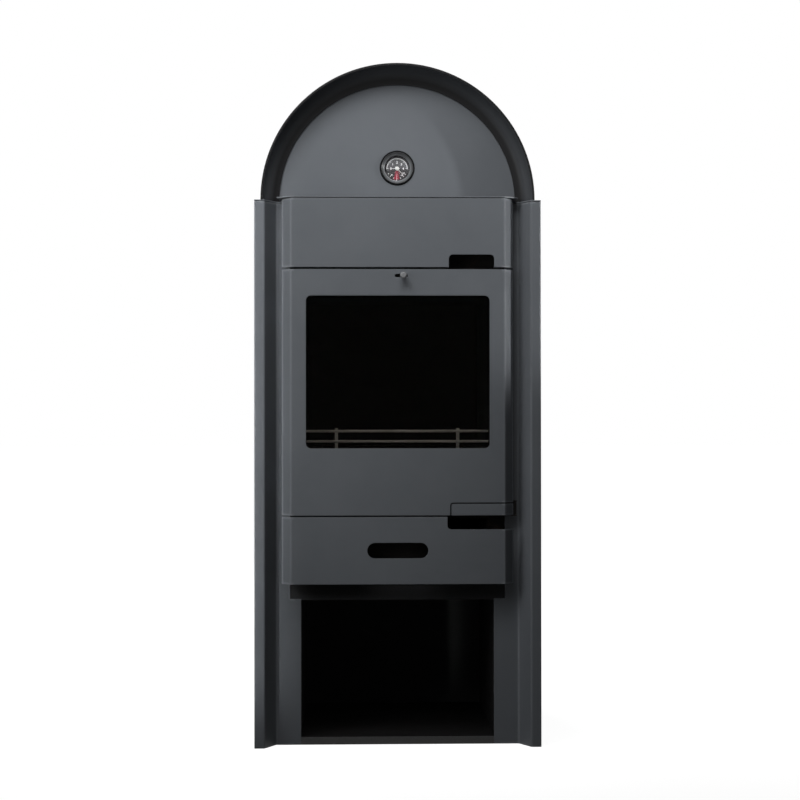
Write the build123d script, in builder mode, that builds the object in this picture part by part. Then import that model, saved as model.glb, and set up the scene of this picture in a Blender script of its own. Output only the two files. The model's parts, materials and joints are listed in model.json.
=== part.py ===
from build123d import *
import os
from math import hypot

# Casing: two folded side panels with pillars, and a round top between them
body_width = 550
body_depth = 480
pillar_height = 1049
casing_sheet = 2
pillar_face = 19.5
pillar_slant = 21
flange_depth = 36
pillar_bend_radius = 5
small_bend_radius = 3
rear_return = 20
flange_reveal = 2.5
cap_sheet = 2
cap_shadow_gap = 1.2
cap_lip_height = 8
arch_inset = 12
cove_lip = 2
cove_width = 34.5
cove_depth = 42
ledge_rise = 5
ledge_sheet = 2
ledge_overhang = 9.75
ledge_lip = 4
ledge_side_gap = 1
fit_gap = 0.3

# Front shells: flat fronts with slanted flanks
shell_sheet = 2
shell_side_gap = 11.75
flank_width = 17.25
shell_flange_gap = 18
shell_bend_radius = 4
hatch_height = 132.6
ledge_gap = 1.4
hatch_gap = 4
door_rise = 4
drawer_gap = 3
drawer_rise = 31.3

# Openings in the front shells
window_side = 29.25
window_rise = 128.5
window_drop = 50.5
window_corner = 10
notch_side = 20.4
notch_width = 87.4
notch_height = 24.3
notch_corner = 8
grip_width = 105.5
grip_height = 22
grip_gap = 2.5
grip_corner = 6.5
recess_overlap = 5.2
recess_height = 24
drawer_slot_width = 117
drawer_slot_height = 30
drawer_slot_rise = 64.4
drawer_slot_x = -0.5
air_slot_left = -6
air_slot_right = 19
air_slot_drop = 12.3

# Wood store under the boiler
stile_width = 88.5
store_height = 279
store_rear_gap = 46
store_floor_top = 15
base_sheet = 3

# Boiler body
plate_thickness = 5
plate_lap = 3
plate_drop = 3
side_gap = 18
rear_gap = 8
inner_wall = 5
water_gap = 38
outer_wall = 4
hearth_rise = 159
hearth_thickness = 6
top_plate_thickness = 6
fire_opening_rise = 36
fire_opening_drop = 22
opening_corner = 8
sweep_opening_inset = 30
sweep_frame_gap = 1
ash_opening_inset = 4
ash_opening_rise = 35
ash_opening_drop = 4
crown_drop = 15
crown_height = 28
crown_wall = 4
crown_front_gap = 95
crown_port_width = 40
crown_ports = 4
tube_radius = 19
tube_wall = 3
tube_count = 4
tube_drop = 72
tube_front_gap = 107
tube_rear_gap = 57
insulation_thickness = 28

# Flue and water connections
flue_radius = 65
flue_wall = 2
flue_top_gap = 7
flue_projection = 60
socket_projection = 15
large_socket_radius = 20
large_thread_radius = 15.15
small_socket_radius = 13.5
small_thread_radius = 9.3
thread_length = 20
socket_side = 63
flow_drop = 28
return_rise = 34
coil_drop = 52
coil_height = 60
coil_side = 73
coil_radius = 7.5
coil_bore = 6
coil_fit = 0.05
coil_bend = 20
rear_hole_clearance = 1

# Firebox fittings
brick_thickness = 30
brick_height = 126
brick_gap = 0.5
grate_side_gap = 2
grate_end_gap = 32
grate_thickness = 16
grate_opening_margin = 12
grate_slot_width = 9
grate_middle_bar = 12
grate_slot_pitch = 20
guard_bar_radius = 2.5
guard_brick_gap = 13
guard_bar_pitch = 20
guard_end_gap = 2.3
guard_post_inset = 61.5
guard_post_rise = 6
guard_post_width = 6
guard_foot_gap = 0.5
guard_foot_width = 24
guard_foot_depth = 12
guard_foot_thickness = 4

# Ash chamber and drawer
ash_sheet = 2
pan_side_gap = 11
pan_floor_gap = 0.4
pan_height = 81.6
pan_front = 30
pan_rear_gap = 16
pan_sheet = 2
chamber_rear_gap = 5

# Door inside: glass, cast frame, rope and studs
glass_thickness = 4
glass_margin = 8
gasket_thickness = 2
gasket_width = 5
gasket_inset = 1
frame_side_gap = 1.5
frame_rise = 5
frame_drop = 7
frame_flange_gap = 5
frame_side_reveal = 0.25
frame_reveal = 2.5
frame_sill_rise = 1
frame_lower_plate = 4
rope_inset = 15
rope_width = 12
rope_groove = 7
rope_seat = 11
rope_round = 4
rope_corner = 14
stud_radius = 2.5
stud_inset = 4.5
stud_end = 4
stud_rise = 31
stud_drop = 39
stud_rows = 4
nut_radius = 4.2
nut_height = 3.4
air_hole_width = 15
air_hole_height = 8
air_hole_rise = 6.5
air_hole_pitch = 34
air_hole_count = 6
shutter_thickness = 2
shutter_glass_gap = 2
shutter_drop = 1
shutter_margin = 19.5
guide_inset = 20
guide_width = 16
guide_sheet = 2
guide_gap = 0.4
guide_lip = 6
guide_foot = 12
slot_gap = 0.4
knob_x = 10.5
knob_radius = 6.2
knob_stem_radius = 2.9
stem_gap = 0.25
knob_reach = 18
knob_neck = 6.5
knob_dome = 2.5

# Hinges and latch
hinge_reach = 12
hinge_flange_gap = 12
barrel_radius = 6
pin_radius = 4
pin_clearance = 0.05
barrel_gap = 0.5
door_hinge_margin = 76
door_barrel_length = 28
hatch_hinge_rise = 45
hatch_hinge_drop = 32.6
hatch_barrel_length = 16
pin_end_gap = 1
leaf_thickness = 4
hatch_leaf_thickness = 3
hatch_leaf_length = 24
hatch_plate_thickness = 2
hatch_plate_gap = 2.5
hatch_plate_rise = 30
latch_reach = 12
latch_flange_gap = 12
latch_pin_radius = 3.5
lug_radius = 6
lug_thickness = 2.8
lug_root = 8
lug_top_gap = 1.6
lug_bottom_gap = 0.5
lever_gap = 0.4
lever_lap = 20
lever_clear = 2
lever_elbow = 3.5
hook_left = 4
hook_shank = 5
hook_gap = 0.7
hook_rear = 10.4
hook_thickness = 2.8
hook_margin = 2.5
keeper_side = 8.2
keeper_set_back = 4.2
keeper_pin_radius = 2.5
keeper_gap = 0.6
keeper_lug = 3
keeper_lug_start = 4
keeper_lug_width = 10
keeper_lug_front = 1
keeper_rib = 3

# Gauge in the arch panel
gauge_rise = 67
gauge_hole_radius = 34
gauge_case_radius = 30
gauge_case_depth = 32
gauge_wall = 1.5
gauge_rim_lap = 4
bezel_gap = 2.3
bezel_inner_radius = 24.5
bezel_proud = 4
bezel_edge = 1.5
glass_ledge = 1
dial_thickness = 1
dial_set_back = 8
lens_thickness = 2
spindle_radius = 1
spindle_front = 3
needle_clearance = 0.05
needle_thickness = 0.6
needle_tip = 0.6
needle_tail = 5
pressure_needle_gap = 2.3
pressure_needle_length = 14
pressure_needle_width = 1.4
pressure_needle_angle = 180
needle_cap_radius = 3.9
needle_hub_radius = 2.5
temperature_needle_gap = 0.8
temperature_needle_length = 17
temperature_needle_width = 1.2
temperature_needle_angle = -45
capillary_radius = 2.5
capillary_bend = 14
capillary_reach = 30

# Cleaning cover behind the hatch
sweep_cover_margin = 18
sweep_cover_gap = 4
sweep_cover_thickness = 6
sweep_seal_thickness = 4
sweep_seal_width = 12
sweep_seal_margin = 3
sweep_stud_radius = 4
sweep_stud_inset = 10
sweep_knob_radius = 11
sweep_knob_height = 8
magnet_lap = 1
magnet_width = 14
magnet_height = 30
magnet_rise = 95
magnet_gap = 0.4

# Screws of the rear panel
screw_radius = 2
screw_head_radius = 4
screw_head_height = 2
screw_count = 5
screw_low_z = 50
screw_drop = 59

# Depths that follow from the sizes
front_y = -body_depth / 2
rear_y = body_depth / 2
flange_y = front_y + flange_depth
plate_y = flange_y + casing_sheet
plate_rear_y = plate_y + plate_thickness
shell_depth = flange_depth - shell_flange_gap
shell_rear_y = front_y + shell_depth
panel_y = front_y + cove_depth + cove_lip
rear_panel_y = rear_y - 2 * casing_sheet
socket_rear_y = rear_y + socket_projection
store_rear_y = rear_panel_y - store_rear_gap
outer_back_y = rear_panel_y - rear_gap - insulation_thickness
outer_rear_y = outer_back_y - outer_wall
inner_back_y = outer_rear_y - water_gap
inner_rear_y = inner_back_y - inner_wall
firebox_depth = inner_rear_y - plate_rear_y
chamber_rear_y = inner_rear_y - chamber_rear_gap
pan_rear_y = chamber_rear_y - pan_rear_gap
tube_first_y = plate_rear_y + tube_front_gap
tube_last_y = inner_rear_y - tube_rear_gap
glass_y = front_y + shell_sheet + gasket_thickness
frame_y = glass_y + glass_thickness + gasket_thickness
frame_rear_y = flange_y - frame_flange_gap
shutter_y = frame_y - fit_gap - shutter_thickness
hinge_axis_y = flange_y - hinge_flange_gap
latch_axis_y = flange_y - latch_flange_gap
keeper_y = latch_axis_y + keeper_set_back
sweep_cover_y = plate_y - sweep_seal_thickness - sweep_cover_thickness
case_y = panel_y + casing_sheet
case_rear_y = panel_y + gauge_case_depth
dial_y = panel_y + dial_set_back

# Widths that follow from the sizes, from the casing inwards
half_width = body_width / 2
arch_radius = half_width - arch_inset
cove_inner_radius = arch_radius - cove_width
shell_rear_half = half_width - pillar_face - pillar_slant - shell_side_gap
shell_bend_half = shell_rear_half - flank_width
flank_length = hypot(flank_width, shell_depth)
ledge_half = shell_rear_half + ledge_overhang
upper_flange_half = shell_bend_half + flange_reveal
store_width = body_width - 2 * stile_width
store_half = store_width / 2
jacket_half = half_width - casing_sheet - side_gap - insulation_thickness
plate_half = jacket_half + plate_lap
outer_half = jacket_half - outer_wall
inner_half = outer_half - water_gap
firebox_half = inner_half - inner_wall
sweep_opening_half = firebox_half - sweep_opening_inset
ash_opening_half = firebox_half - ash_opening_inset
pan_half = ash_opening_half - pan_side_gap
socket_x = outer_half - socket_side
coil_end_x = coil_side - outer_half
window_half = shell_bend_half - window_side
window_width = 2 * window_half
notch_right = shell_bend_half - notch_side
notch_left = notch_right - notch_width
grip_cut_left = shell_bend_half - grip_width
recess_left = grip_cut_left - recess_overlap
lever_left = grip_cut_left + lever_lap
glass_half = window_half + glass_margin
frame_half = shell_bend_half - frame_side_gap
frame_opening_half = window_half + frame_side_reveal
rope_half = frame_half - rope_inset
fire_opening_half = rope_half - rope_seat
stud_x = frame_half - stud_inset
hinge_x = -frame_half - hinge_reach
latch_x = frame_half + latch_reach
keeper_x = latch_x + keeper_side
keeper_left = latch_x + keeper_lug_start
keeper_right = keeper_left + keeper_lug_width
shutter_half = (air_hole_count - 1) / 2 * air_hole_pitch + air_hole_width / 2 + shutter_margin
shutter_open = air_slot_right - knob_x - knob_stem_radius - slot_gap
guide_x = shutter_half - guide_inset
grate_width = 2 * (firebox_half - brick_thickness - grate_side_gap)
grate_depth = firebox_depth - brick_thickness - 2 * grate_end_gap
grate_slot_length = (grate_depth - 2 * grate_opening_margin - grate_middle_bar) / 2
guard_post_x = firebox_half - guard_post_inset
hatch_plate_half = shell_bend_half - hatch_plate_gap
magnet_right = hatch_plate_half + magnet_lap
cover_half = magnet_right - magnet_width - sweep_cover_gap
sweep_stud_x = cover_half - sweep_stud_inset
screw_x = half_width - rear_return / 2
gauge_rim_radius = gauge_hole_radius + gauge_rim_lap
bezel_radius = gauge_hole_radius - bezel_gap

# Heights that follow from the sizes, up from the wood store and down from the round top
ceiling_top = store_height + casing_sheet
drawer_bottom = ceiling_top + drawer_rise
drawer_slot_z = drawer_bottom + drawer_slot_rise
hearth_z = ceiling_top + hearth_rise
hearth_top = hearth_z + hearth_thickness
ash_opening_bottom = ceiling_top + ash_opening_rise
ash_opening_top = hearth_z - ash_opening_drop
pan_bottom = ash_opening_bottom + ash_sheet + pan_floor_gap
pan_top = pan_bottom + pan_height
door_bottom = hearth_z + door_rise
drawer_top = door_bottom - drawer_gap
grip_top = door_bottom + grip_height
window_bottom = door_bottom + window_rise
frame_bottom = door_bottom + frame_rise
fire_opening_bottom = hearth_z + fire_opening_rise
frame_sill = fire_opening_bottom + frame_sill_rise
lug_top = grip_top + lug_top_gap
lug_bottom = door_bottom + lug_bottom_gap
lever_z = (lug_bottom + lug_thickness + lever_gap, lug_top - lug_thickness - lever_gap)
guard_lower_z = hearth_top + brick_height + guard_brick_gap
guard_upper_z = guard_lower_z + guard_bar_pitch
guard_post_top = guard_upper_z + guard_post_rise
return_z = hearth_top + return_rise
plate_top = pillar_height - plate_drop
boiler_top = plate_top - top_plate_thickness
ledge_height = pillar_height + ledge_rise
hatch_top = ledge_height - ledge_gap
hatch_bottom = hatch_top - hatch_height
hatch_plate_bottom = hatch_bottom + hatch_plate_rise
door_top = hatch_bottom - hatch_gap
air_slot_z = door_top - air_slot_drop
air_slot_height = 2 * (knob_stem_radius + stem_gap)
window_top = door_top - window_drop
window_height = window_top - window_bottom
window_mid_z = (window_top + window_bottom) / 2
glass_bottom = window_bottom - glass_margin
glass_top = window_top + glass_margin
frame_top = door_top - frame_drop
frame_opening_bottom = window_bottom - frame_reveal
frame_opening_top = window_top + frame_reveal
fire_opening_top = frame_top - fire_opening_drop
rope_bottom = fire_opening_bottom - rope_seat
rope_top = fire_opening_top + rope_seat
shutter_bottom = glass_top + shutter_glass_gap
shutter_top = frame_top - shutter_drop
air_hole_z = shutter_bottom + air_hole_rise
sweep_opening_bottom = frame_top + sweep_frame_gap + sweep_cover_margin
sweep_opening_top = boiler_top - sweep_cover_margin
crown_bottom = fire_opening_top - crown_drop
tube_z = boiler_top - tube_drop
flue_z = boiler_top - flue_top_gap - flue_radius
flow_z = boiler_top - flow_drop
coil_upper_z = crown_bottom - coil_drop
coil_lower_z = coil_upper_z - coil_height
magnet_z = hatch_bottom + magnet_rise
gauge_z = pillar_height + gauge_rise
door_hinge_heights = (door_bottom + door_hinge_margin, door_top - door_hinge_margin)
hatch_hinge_heights = (hatch_bottom + hatch_hinge_rise, hatch_top - hatch_hinge_drop)


def evenly(first, last, count):
    """Places from the first to the last, with equal steps between them."""
    return [first + index * (last - first) / (count - 1) for index in range(count)]


stud_heights = evenly(frame_bottom + stud_rise, frame_top - stud_drop, stud_rows)
screw_heights = evenly(screw_low_z, pillar_height - screw_drop, screw_count)
tube_places = evenly(tube_first_y, tube_last_y, tube_count)


def slab(x, y, z, mode=Mode.ADD):
    """A block between pairs of x, y and z values, in the part being built."""
    with Locations(((x[0] + x[1]) / 2, (y[0] + y[1]) / 2, (z[0] + z[1]) / 2)):
        Box(x[1] - x[0], y[1] - y[0], z[1] - z[0], mode=mode)


def upright(y):
    """A plane that faces the front at depth y, with its y along the height."""
    return Plane.XZ.offset(-y)


def rod(x, z, radius, y, mode=Mode.ADD):
    """A round bar along the depth, between two y values."""
    with BuildSketch(upright(y[0])) as section:
        with Locations((x, z)):
            Circle(radius)
    extrude(section.sketch, amount=y[0] - y[1], mode=mode)


def post(x, y, radius, z, mode=Mode.ADD):
    """A round bar along the height, between two z values."""
    with BuildSketch(Plane.XY.offset(z[0])) as section:
        with Locations((x, y)):
            Circle(radius)
    extrude(section.sketch, amount=z[1] - z[0], mode=mode)


def flank_x(y, inset):
    """Half width of a front shell at depth y, inside its sheet by inset."""
    return shell_bend_half + (y - front_y) * flank_width / shell_depth - inset * flank_length / shell_depth


def shell_block(bottom, top, inset, rear, radius, mode=Mode.ADD):
    """The block inside a front shell's outline, drawn in by inset."""
    front = front_y + inset
    with BuildSketch(Plane.XY.offset(bottom)) as outline:
        with BuildLine():
            Polyline(
                (-flank_x(rear, inset), rear),
                (-flank_x(front, inset), front),
                (flank_x(front, inset), front),
                (flank_x(rear, inset), rear),
                close=True,
            )
        make_face()
        fillet(outline.vertices().group_by(Axis.Y)[0], radius=radius)
    extrude(outline.sketch, amount=top - bottom, mode=mode)


def front_shell(bottom, top):
    """A folded front: flat face, slanted flanks, and a return above and below."""
    shell_block(bottom, top, 0, shell_rear_y, shell_bend_radius)
    inner_radius = shell_bend_radius - shell_sheet
    shell_block(
        bottom + shell_sheet,
        top - shell_sheet,
        shell_sheet,
        shell_rear_y + shell_sheet,
        inner_radius,
        mode=Mode.SUBTRACT,
    )


def corner_cut(left, edge, end, radius):
    """Cuts away the right end of a front shell, from a level edge to its end."""
    right = shell_rear_half + 1
    with BuildSketch(upright(front_y - 1)) as corner:
        with Locations(((left + right) / 2, (edge + end) / 2)):
            Rectangle(right - left, abs(end - edge))
        fillet(corner.vertices().sort_by_distance((left, edge))[0], radius=radius)
    extrude(corner.sketch, amount=-shell_depth - 2, mode=Mode.SUBTRACT)


def ring(half, bottom, top, width, radius, y, mode=Mode.ADD):
    """A rounded rectangular ring whose centre line runs at the given edges."""
    with BuildSketch(upright(y[0])) as band:
        with Locations((0, (bottom + top) / 2)):
            RectangleRounded(2 * half + width, top - bottom + width, radius + width / 2)
            RectangleRounded(
                2 * half - width,
                top - bottom - width,
                radius - width / 2,
                mode=Mode.SUBTRACT,
            )
    extrude(band.sketch, amount=y[0] - y[1], mode=mode)


def needle(length, width, hub_radius, angle, rear):
    """A tapered pointer on the gauge's spindle, its angle taken from the right."""
    with BuildSketch(upright(rear)) as blade:
        with Locations(Location((0, gauge_z, 0), (0, 0, angle))):
            Polygon(
                (-needle_tail, -width / 2),
                (length, -needle_tip / 2),
                (length, needle_tip / 2),
                (-needle_tail, width / 2),
                align=None,
            )
    extrude(blade.sketch, amount=needle_thickness)
    rod(0, gauge_z, hub_radius, (rear - needle_thickness, rear))
    rod(0, gauge_z, spindle_radius + needle_clearance, (rear - 1, rear + 1), mode=Mode.SUBTRACT)


def u_wall(half, rear, thickness, z):
    """Left, rear and right walls round an inside half width, open at the front."""
    slab((-half - thickness, half + thickness), (plate_rear_y, rear + thickness), z)
    slab((-half, half), (plate_rear_y, rear), z, mode=Mode.SUBTRACT)


def socket(x, z, outer_radius, thread_radius, bore_radius):
    """A round boss through the outer jacket, threaded from its rear end."""
    rod(x, z, outer_radius, (outer_rear_y, socket_rear_y))
    rod(x, z, thread_radius, (socket_rear_y - thread_length, socket_rear_y + 1), mode=Mode.SUBTRACT)
    rod(x, z, bore_radius, (outer_rear_y - 1, socket_rear_y), mode=Mode.SUBTRACT)


os.makedirs("parts", exist_ok=True)

# Side panel: one sheet folded into rear return, side, pillar and flange
with BuildPart() as left_side_panel:
    with BuildSketch():
        with BuildLine():
            FilletPolyline(
                (-half_width + rear_return, rear_y),
                (-half_width, rear_y),
                (-half_width, front_y),
                (-half_width + pillar_face, front_y),
                (-half_width + pillar_face + pillar_slant, flange_y),
                (-store_half, flange_y),
                radius=(
                    small_bend_radius,
                    small_bend_radius,
                    pillar_bend_radius,
                    small_bend_radius,
                ),
            )
            offset(amount=casing_sheet, side=Side.LEFT)
        make_face()
    extrude(amount=pillar_height - cap_sheet - cap_shadow_gap)
    slab(
        (-upper_flange_half, -store_half + 1),
        (flange_y - 1, plate_y + 1),
        (ceiling_top, pillar_height),
        mode=Mode.SUBTRACT,
    )
    for z in screw_heights:
        rod(-screw_x, z, screw_radius + fit_gap / 2, (rear_panel_y, rear_y + 1), mode=Mode.SUBTRACT)

with BuildPart() as right_side_panel:
    mirror(left_side_panel.part, about=Plane.YZ)

# Caps close the pillars and carry the round top
with BuildPart() as column_caps:
    with BuildSketch(Plane.XY.offset(pillar_height - cap_sheet)):
        with BuildLine():
            Polyline(
                (-half_width, front_y),
                (-half_width + pillar_face, front_y),
                (-half_width + pillar_face + pillar_slant, flange_y),
                (-upper_flange_half, flange_y),
                (-upper_flange_half, rear_panel_y),
                (-half_width, rear_panel_y),
                close=True,
            )
        make_face()
    extrude(amount=cap_sheet)
    lip_side = half_width - casing_sheet - fit_gap
    slab(
        (-lip_side, -lip_side + casing_sheet),
        (front_y + casing_sheet + small_bend_radius, rear_panel_y),
        (pillar_height - cap_sheet - cap_lip_height, pillar_height - cap_sheet),
    )
    mirror(about=Plane.YZ)

# Round top: a rolled sheet over the full depth
with BuildPart() as arch_shell:
    with BuildSketch(upright(front_y)):
        with Locations((0, pillar_height)):
            Circle(arch_radius)
            Circle(arch_radius - casing_sheet, mode=Mode.SUBTRACT)
        with Locations((0, pillar_height - arch_radius)):
            Rectangle(3 * arch_radius, 2 * arch_radius, mode=Mode.SUBTRACT)
    extrude(amount=-body_depth)

# Cove: a concave ring from the rim back to the panel
cove_rim_radius = arch_radius - casing_sheet
with BuildPart() as arch_cove:
    with BuildSketch(Plane.XY.offset(pillar_height)):
        with BuildLine():
            outer_curve = EllipticalCenterArc(
                (cove_inner_radius, front_y),
                cove_rim_radius - cove_inner_radius,
                cove_depth + cove_lip,
                arc_size=90,
            )
            inner_curve = EllipticalCenterArc(
                (cove_inner_radius, front_y),
                cove_rim_radius - cove_lip - cove_inner_radius,
                cove_depth,
                arc_size=90,
            )
            Line(outer_curve @ 0, inner_curve @ 0)
            Line(outer_curve @ 1, inner_curve @ 1)
        make_face()
    revolve(axis=Axis((0, 0, pillar_height), (0, -1, 0)), revolution_arc=180)

# Panel in the arch, with the hole for the gauge
with BuildPart() as arch_panel:
    with BuildSketch(upright(panel_y)):
        with Locations((0, pillar_height)):
            Circle((cove_inner_radius + cove_rim_radius) / 2)
        with Locations((0, pillar_height - arch_radius)):
            Rectangle(3 * arch_radius, 2 * arch_radius, mode=Mode.SUBTRACT)
        with Locations((0, (plate_top + pillar_height) / 2)):
            Rectangle(2 * (upper_flange_half - fit_gap), pillar_height - plate_top)
        with Locations((0, gauge_z)):
            Circle(gauge_hole_radius, mode=Mode.SUBTRACT)
    extrude(amount=-casing_sheet)

# Ledge over the hatch
with BuildPart() as top_ledge:
    with BuildSketch(Plane.XY.offset(ledge_height)):
        with BuildLine():
            Polyline(
                (-cove_inner_radius + ledge_side_gap, panel_y),
                (-ledge_half, shell_rear_y),
                (-shell_bend_half, front_y),
                (shell_bend_half, front_y),
                (ledge_half, shell_rear_y),
                (cove_inner_radius - ledge_side_gap, panel_y),
                close=True,
            )
        make_face()
    extrude(amount=ledge_sheet)
    slab(
        (-shell_bend_half, shell_bend_half),
        (panel_y - ledge_sheet, panel_y),
        (ledge_height - ledge_lip, ledge_height),
    )

# Rear panel, with holes for the flue and the water connections
rear_hole_places = [
    (0, flue_z, flue_radius),
    (-socket_x, flow_z, large_socket_radius),
    (-socket_x, return_z, large_socket_radius),
    (socket_x, flow_z, small_socket_radius),
    (socket_x, return_z, small_socket_radius),
    (socket_x, coil_upper_z, small_socket_radius),
    (socket_x, coil_lower_z, small_socket_radius),
]
with BuildPart() as rear_panel:
    with BuildSketch(upright(rear_panel_y)):
        with Locations((0, (base_sheet + pillar_height) / 2)):
            Rectangle(2 * (half_width - small_bend_radius), pillar_height - base_sheet)
        with Locations((0, pillar_height)):
            Circle(arch_radius - casing_sheet - fit_gap)
        for x, z, radius in rear_hole_places:
            with Locations((x, z)):
                Circle(radius + rear_hole_clearance, mode=Mode.SUBTRACT)
        for z in screw_heights:
            with Locations((-screw_x, z), (screw_x, z)):
                Circle(screw_radius + fit_gap / 2, mode=Mode.SUBTRACT)
    extrude(amount=-casing_sheet)

with BuildPart() as rear_panel_screws:
    for z in screw_heights:
        for x in (-screw_x, screw_x):
            rod(x, z, screw_radius, (rear_panel_y - casing_sheet, rear_y))
            rod(x, z, screw_head_radius, (rear_y, rear_y + screw_head_height))

# Wood store: base plate, floor with its lip, walls, and the ceiling with its lintel
with BuildPart() as base_plate:
    base_half = half_width - casing_sheet - fit_gap
    slab((-base_half, base_half), (plate_y + fit_gap, rear_panel_y - fit_gap), (0, base_sheet))

with BuildPart() as store_floor:
    floor_half = store_half - fit_gap
    slab((-floor_half, floor_half), (flange_y, store_rear_y), (base_sheet, store_floor_top))
    slab(
        (-floor_half + casing_sheet, floor_half - casing_sheet),
        (plate_y, store_rear_y - casing_sheet),
        (base_sheet, store_floor_top - casing_sheet),
        mode=Mode.SUBTRACT,
    )
    slab((-floor_half, floor_half), (flange_y, plate_y), (0, base_sheet))

with BuildPart() as store_walls:
    for side in (-1, 1):
        wall_x = sorted((side * store_half, side * (store_half + casing_sheet)))
        slab(wall_x, (plate_y, store_rear_y + fit_gap), (base_sheet, store_height))
    slab(
        (-store_half - casing_sheet, store_half + casing_sheet),
        (store_rear_y + fit_gap, store_rear_y + fit_gap + casing_sheet),
        (base_sheet, store_height),
    )

with BuildPart() as store_ceiling:
    lintel_half = upper_flange_half - fit_gap
    lintel_bottom = ceiling_top + fit_gap
    slab((-base_half, base_half), (plate_y, rear_panel_y), (store_height, ceiling_top))
    slab((-floor_half, floor_half), (flange_y, plate_y), (store_height, lintel_bottom))
    slab((-lintel_half, lintel_half), (flange_y, plate_y), (lintel_bottom, drawer_bottom))

# Boiler front plate, with the fire, ash and cleaning openings
with BuildPart() as front_plate:
    with BuildSketch(upright(plate_y)):
        with Locations((0, (ceiling_top + plate_top) / 2)):
            Rectangle(2 * plate_half, plate_top - ceiling_top)
        with Locations((0, (fire_opening_bottom + fire_opening_top) / 2)):
            RectangleRounded(
                2 * fire_opening_half,
                fire_opening_top - fire_opening_bottom,
                opening_corner,
                mode=Mode.SUBTRACT,
            )
        with Locations((0, (sweep_opening_bottom + sweep_opening_top) / 2)):
            RectangleRounded(
                2 * sweep_opening_half,
                sweep_opening_top - sweep_opening_bottom,
                opening_corner,
                mode=Mode.SUBTRACT,
            )
        with Locations((0, (ash_opening_bottom + ash_opening_top) / 2)):
            RectangleRounded(
                2 * ash_opening_half,
                ash_opening_top - ash_opening_bottom,
                opening_corner,
                mode=Mode.SUBTRACT,
            )
    extrude(amount=-plate_thickness)

# Outer jacket: it stands on the store's ceiling and holds the water sockets
with BuildPart() as outer_jacket:
    u_wall(outer_half, outer_rear_y, outer_wall, (ceiling_top, boiler_top))
    for x, z, radius in rear_hole_places:
        rod(x, z, radius, (outer_rear_y - 1, outer_back_y + 1), mode=Mode.SUBTRACT)

# Inner jacket: the firebox walls, pierced for the water tubes and the crown
crown_y = (plate_rear_y + crown_front_gap, inner_rear_y)
crown_length = crown_y[1] - crown_y[0]
port_pitch = crown_length / crown_ports
port_places = [crown_y[0] + (index + 0.5) * port_pitch for index in range(crown_ports)]
crown_port_z = (crown_bottom + crown_wall, crown_bottom + crown_height - crown_wall)
with BuildPart() as inner_jacket:
    u_wall(firebox_half, inner_rear_y, inner_wall, (hearth_top, boiler_top))
    rod(0, flue_z, flue_radius, (inner_rear_y - 1, inner_back_y + 1), mode=Mode.SUBTRACT)
    for side in (-1, 1):
        wall_x = sorted((side * (firebox_half - 1), side * (inner_half + 1)))
        for y in port_places:
            port_y = (y - crown_port_width / 2, y + crown_port_width / 2)
            slab(wall_x, port_y, crown_port_z, mode=Mode.SUBTRACT)
        for y in tube_places:
            with BuildSketch(Plane.YZ.offset(wall_x[0])):
                with Locations((y, tube_z)):
                    Circle(tube_radius)
            extrude(amount=wall_x[1] - wall_x[0], mode=Mode.SUBTRACT)

# Hearth plate: it closes the water space below and carries the grate
grate_mid_y = plate_rear_y + (firebox_depth - brick_thickness) / 2 + brick_gap
with BuildPart() as hearth_plate:
    slab((-outer_half, outer_half), (plate_rear_y, outer_rear_y), (hearth_z, hearth_top))
    slab(
        (-grate_width / 2 + grate_opening_margin, grate_width / 2 - grate_opening_margin),
        (
            grate_mid_y - grate_depth / 2 + grate_opening_margin,
            grate_mid_y + grate_depth / 2 - grate_opening_margin,
        ),
        (hearth_z, hearth_top),
        mode=Mode.SUBTRACT,
    )

with BuildPart() as boiler_top_plate:
    slab((-jacket_half, jacket_half), (plate_rear_y, outer_back_y), (boiler_top, plate_top))

# Water crown: a flat duct over the fire, open at both ends into the side jackets
with BuildPart() as water_crown:
    slab((-firebox_half, firebox_half), crown_y, (crown_bottom, crown_bottom + crown_height))
    slab(
        (-firebox_half, firebox_half),
        (crown_y[0] + crown_wall, crown_y[1] - crown_wall),
        crown_port_z,
        mode=Mode.SUBTRACT,
    )

# Water tubes across the smoke chamber
with BuildPart() as cross_tubes:
    for y in tube_places:
        with BuildSketch(Plane.YZ.offset(-inner_half)):
            with Locations((y, tube_z)):
                Circle(tube_radius)
                Circle(tube_radius - tube_wall, mode=Mode.SUBTRACT)
        extrude(amount=2 * inner_half)

with BuildPart() as flue_collar:
    rod(0, flue_z, flue_radius, (inner_rear_y, rear_y + flue_projection))
    rod(
        0,
        flue_z,
        flue_radius - flue_wall,
        (inner_rear_y - 1, rear_y + flue_projection + 1),
        mode=Mode.SUBTRACT,
    )

# Threaded sockets of the water circuit
with BuildPart() as one_inch_sockets:
    for z in (flow_z, return_z):
        socket(-socket_x, z, large_socket_radius, large_thread_radius, large_thread_radius)

with BuildPart() as half_inch_sockets:
    for z in (flow_z, return_z):
        socket(socket_x, z, small_socket_radius, small_thread_radius, small_thread_radius)
    for z in (coil_upper_z, coil_lower_z):
        socket(socket_x, z, small_socket_radius, small_thread_radius, coil_radius + coil_fit)

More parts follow.
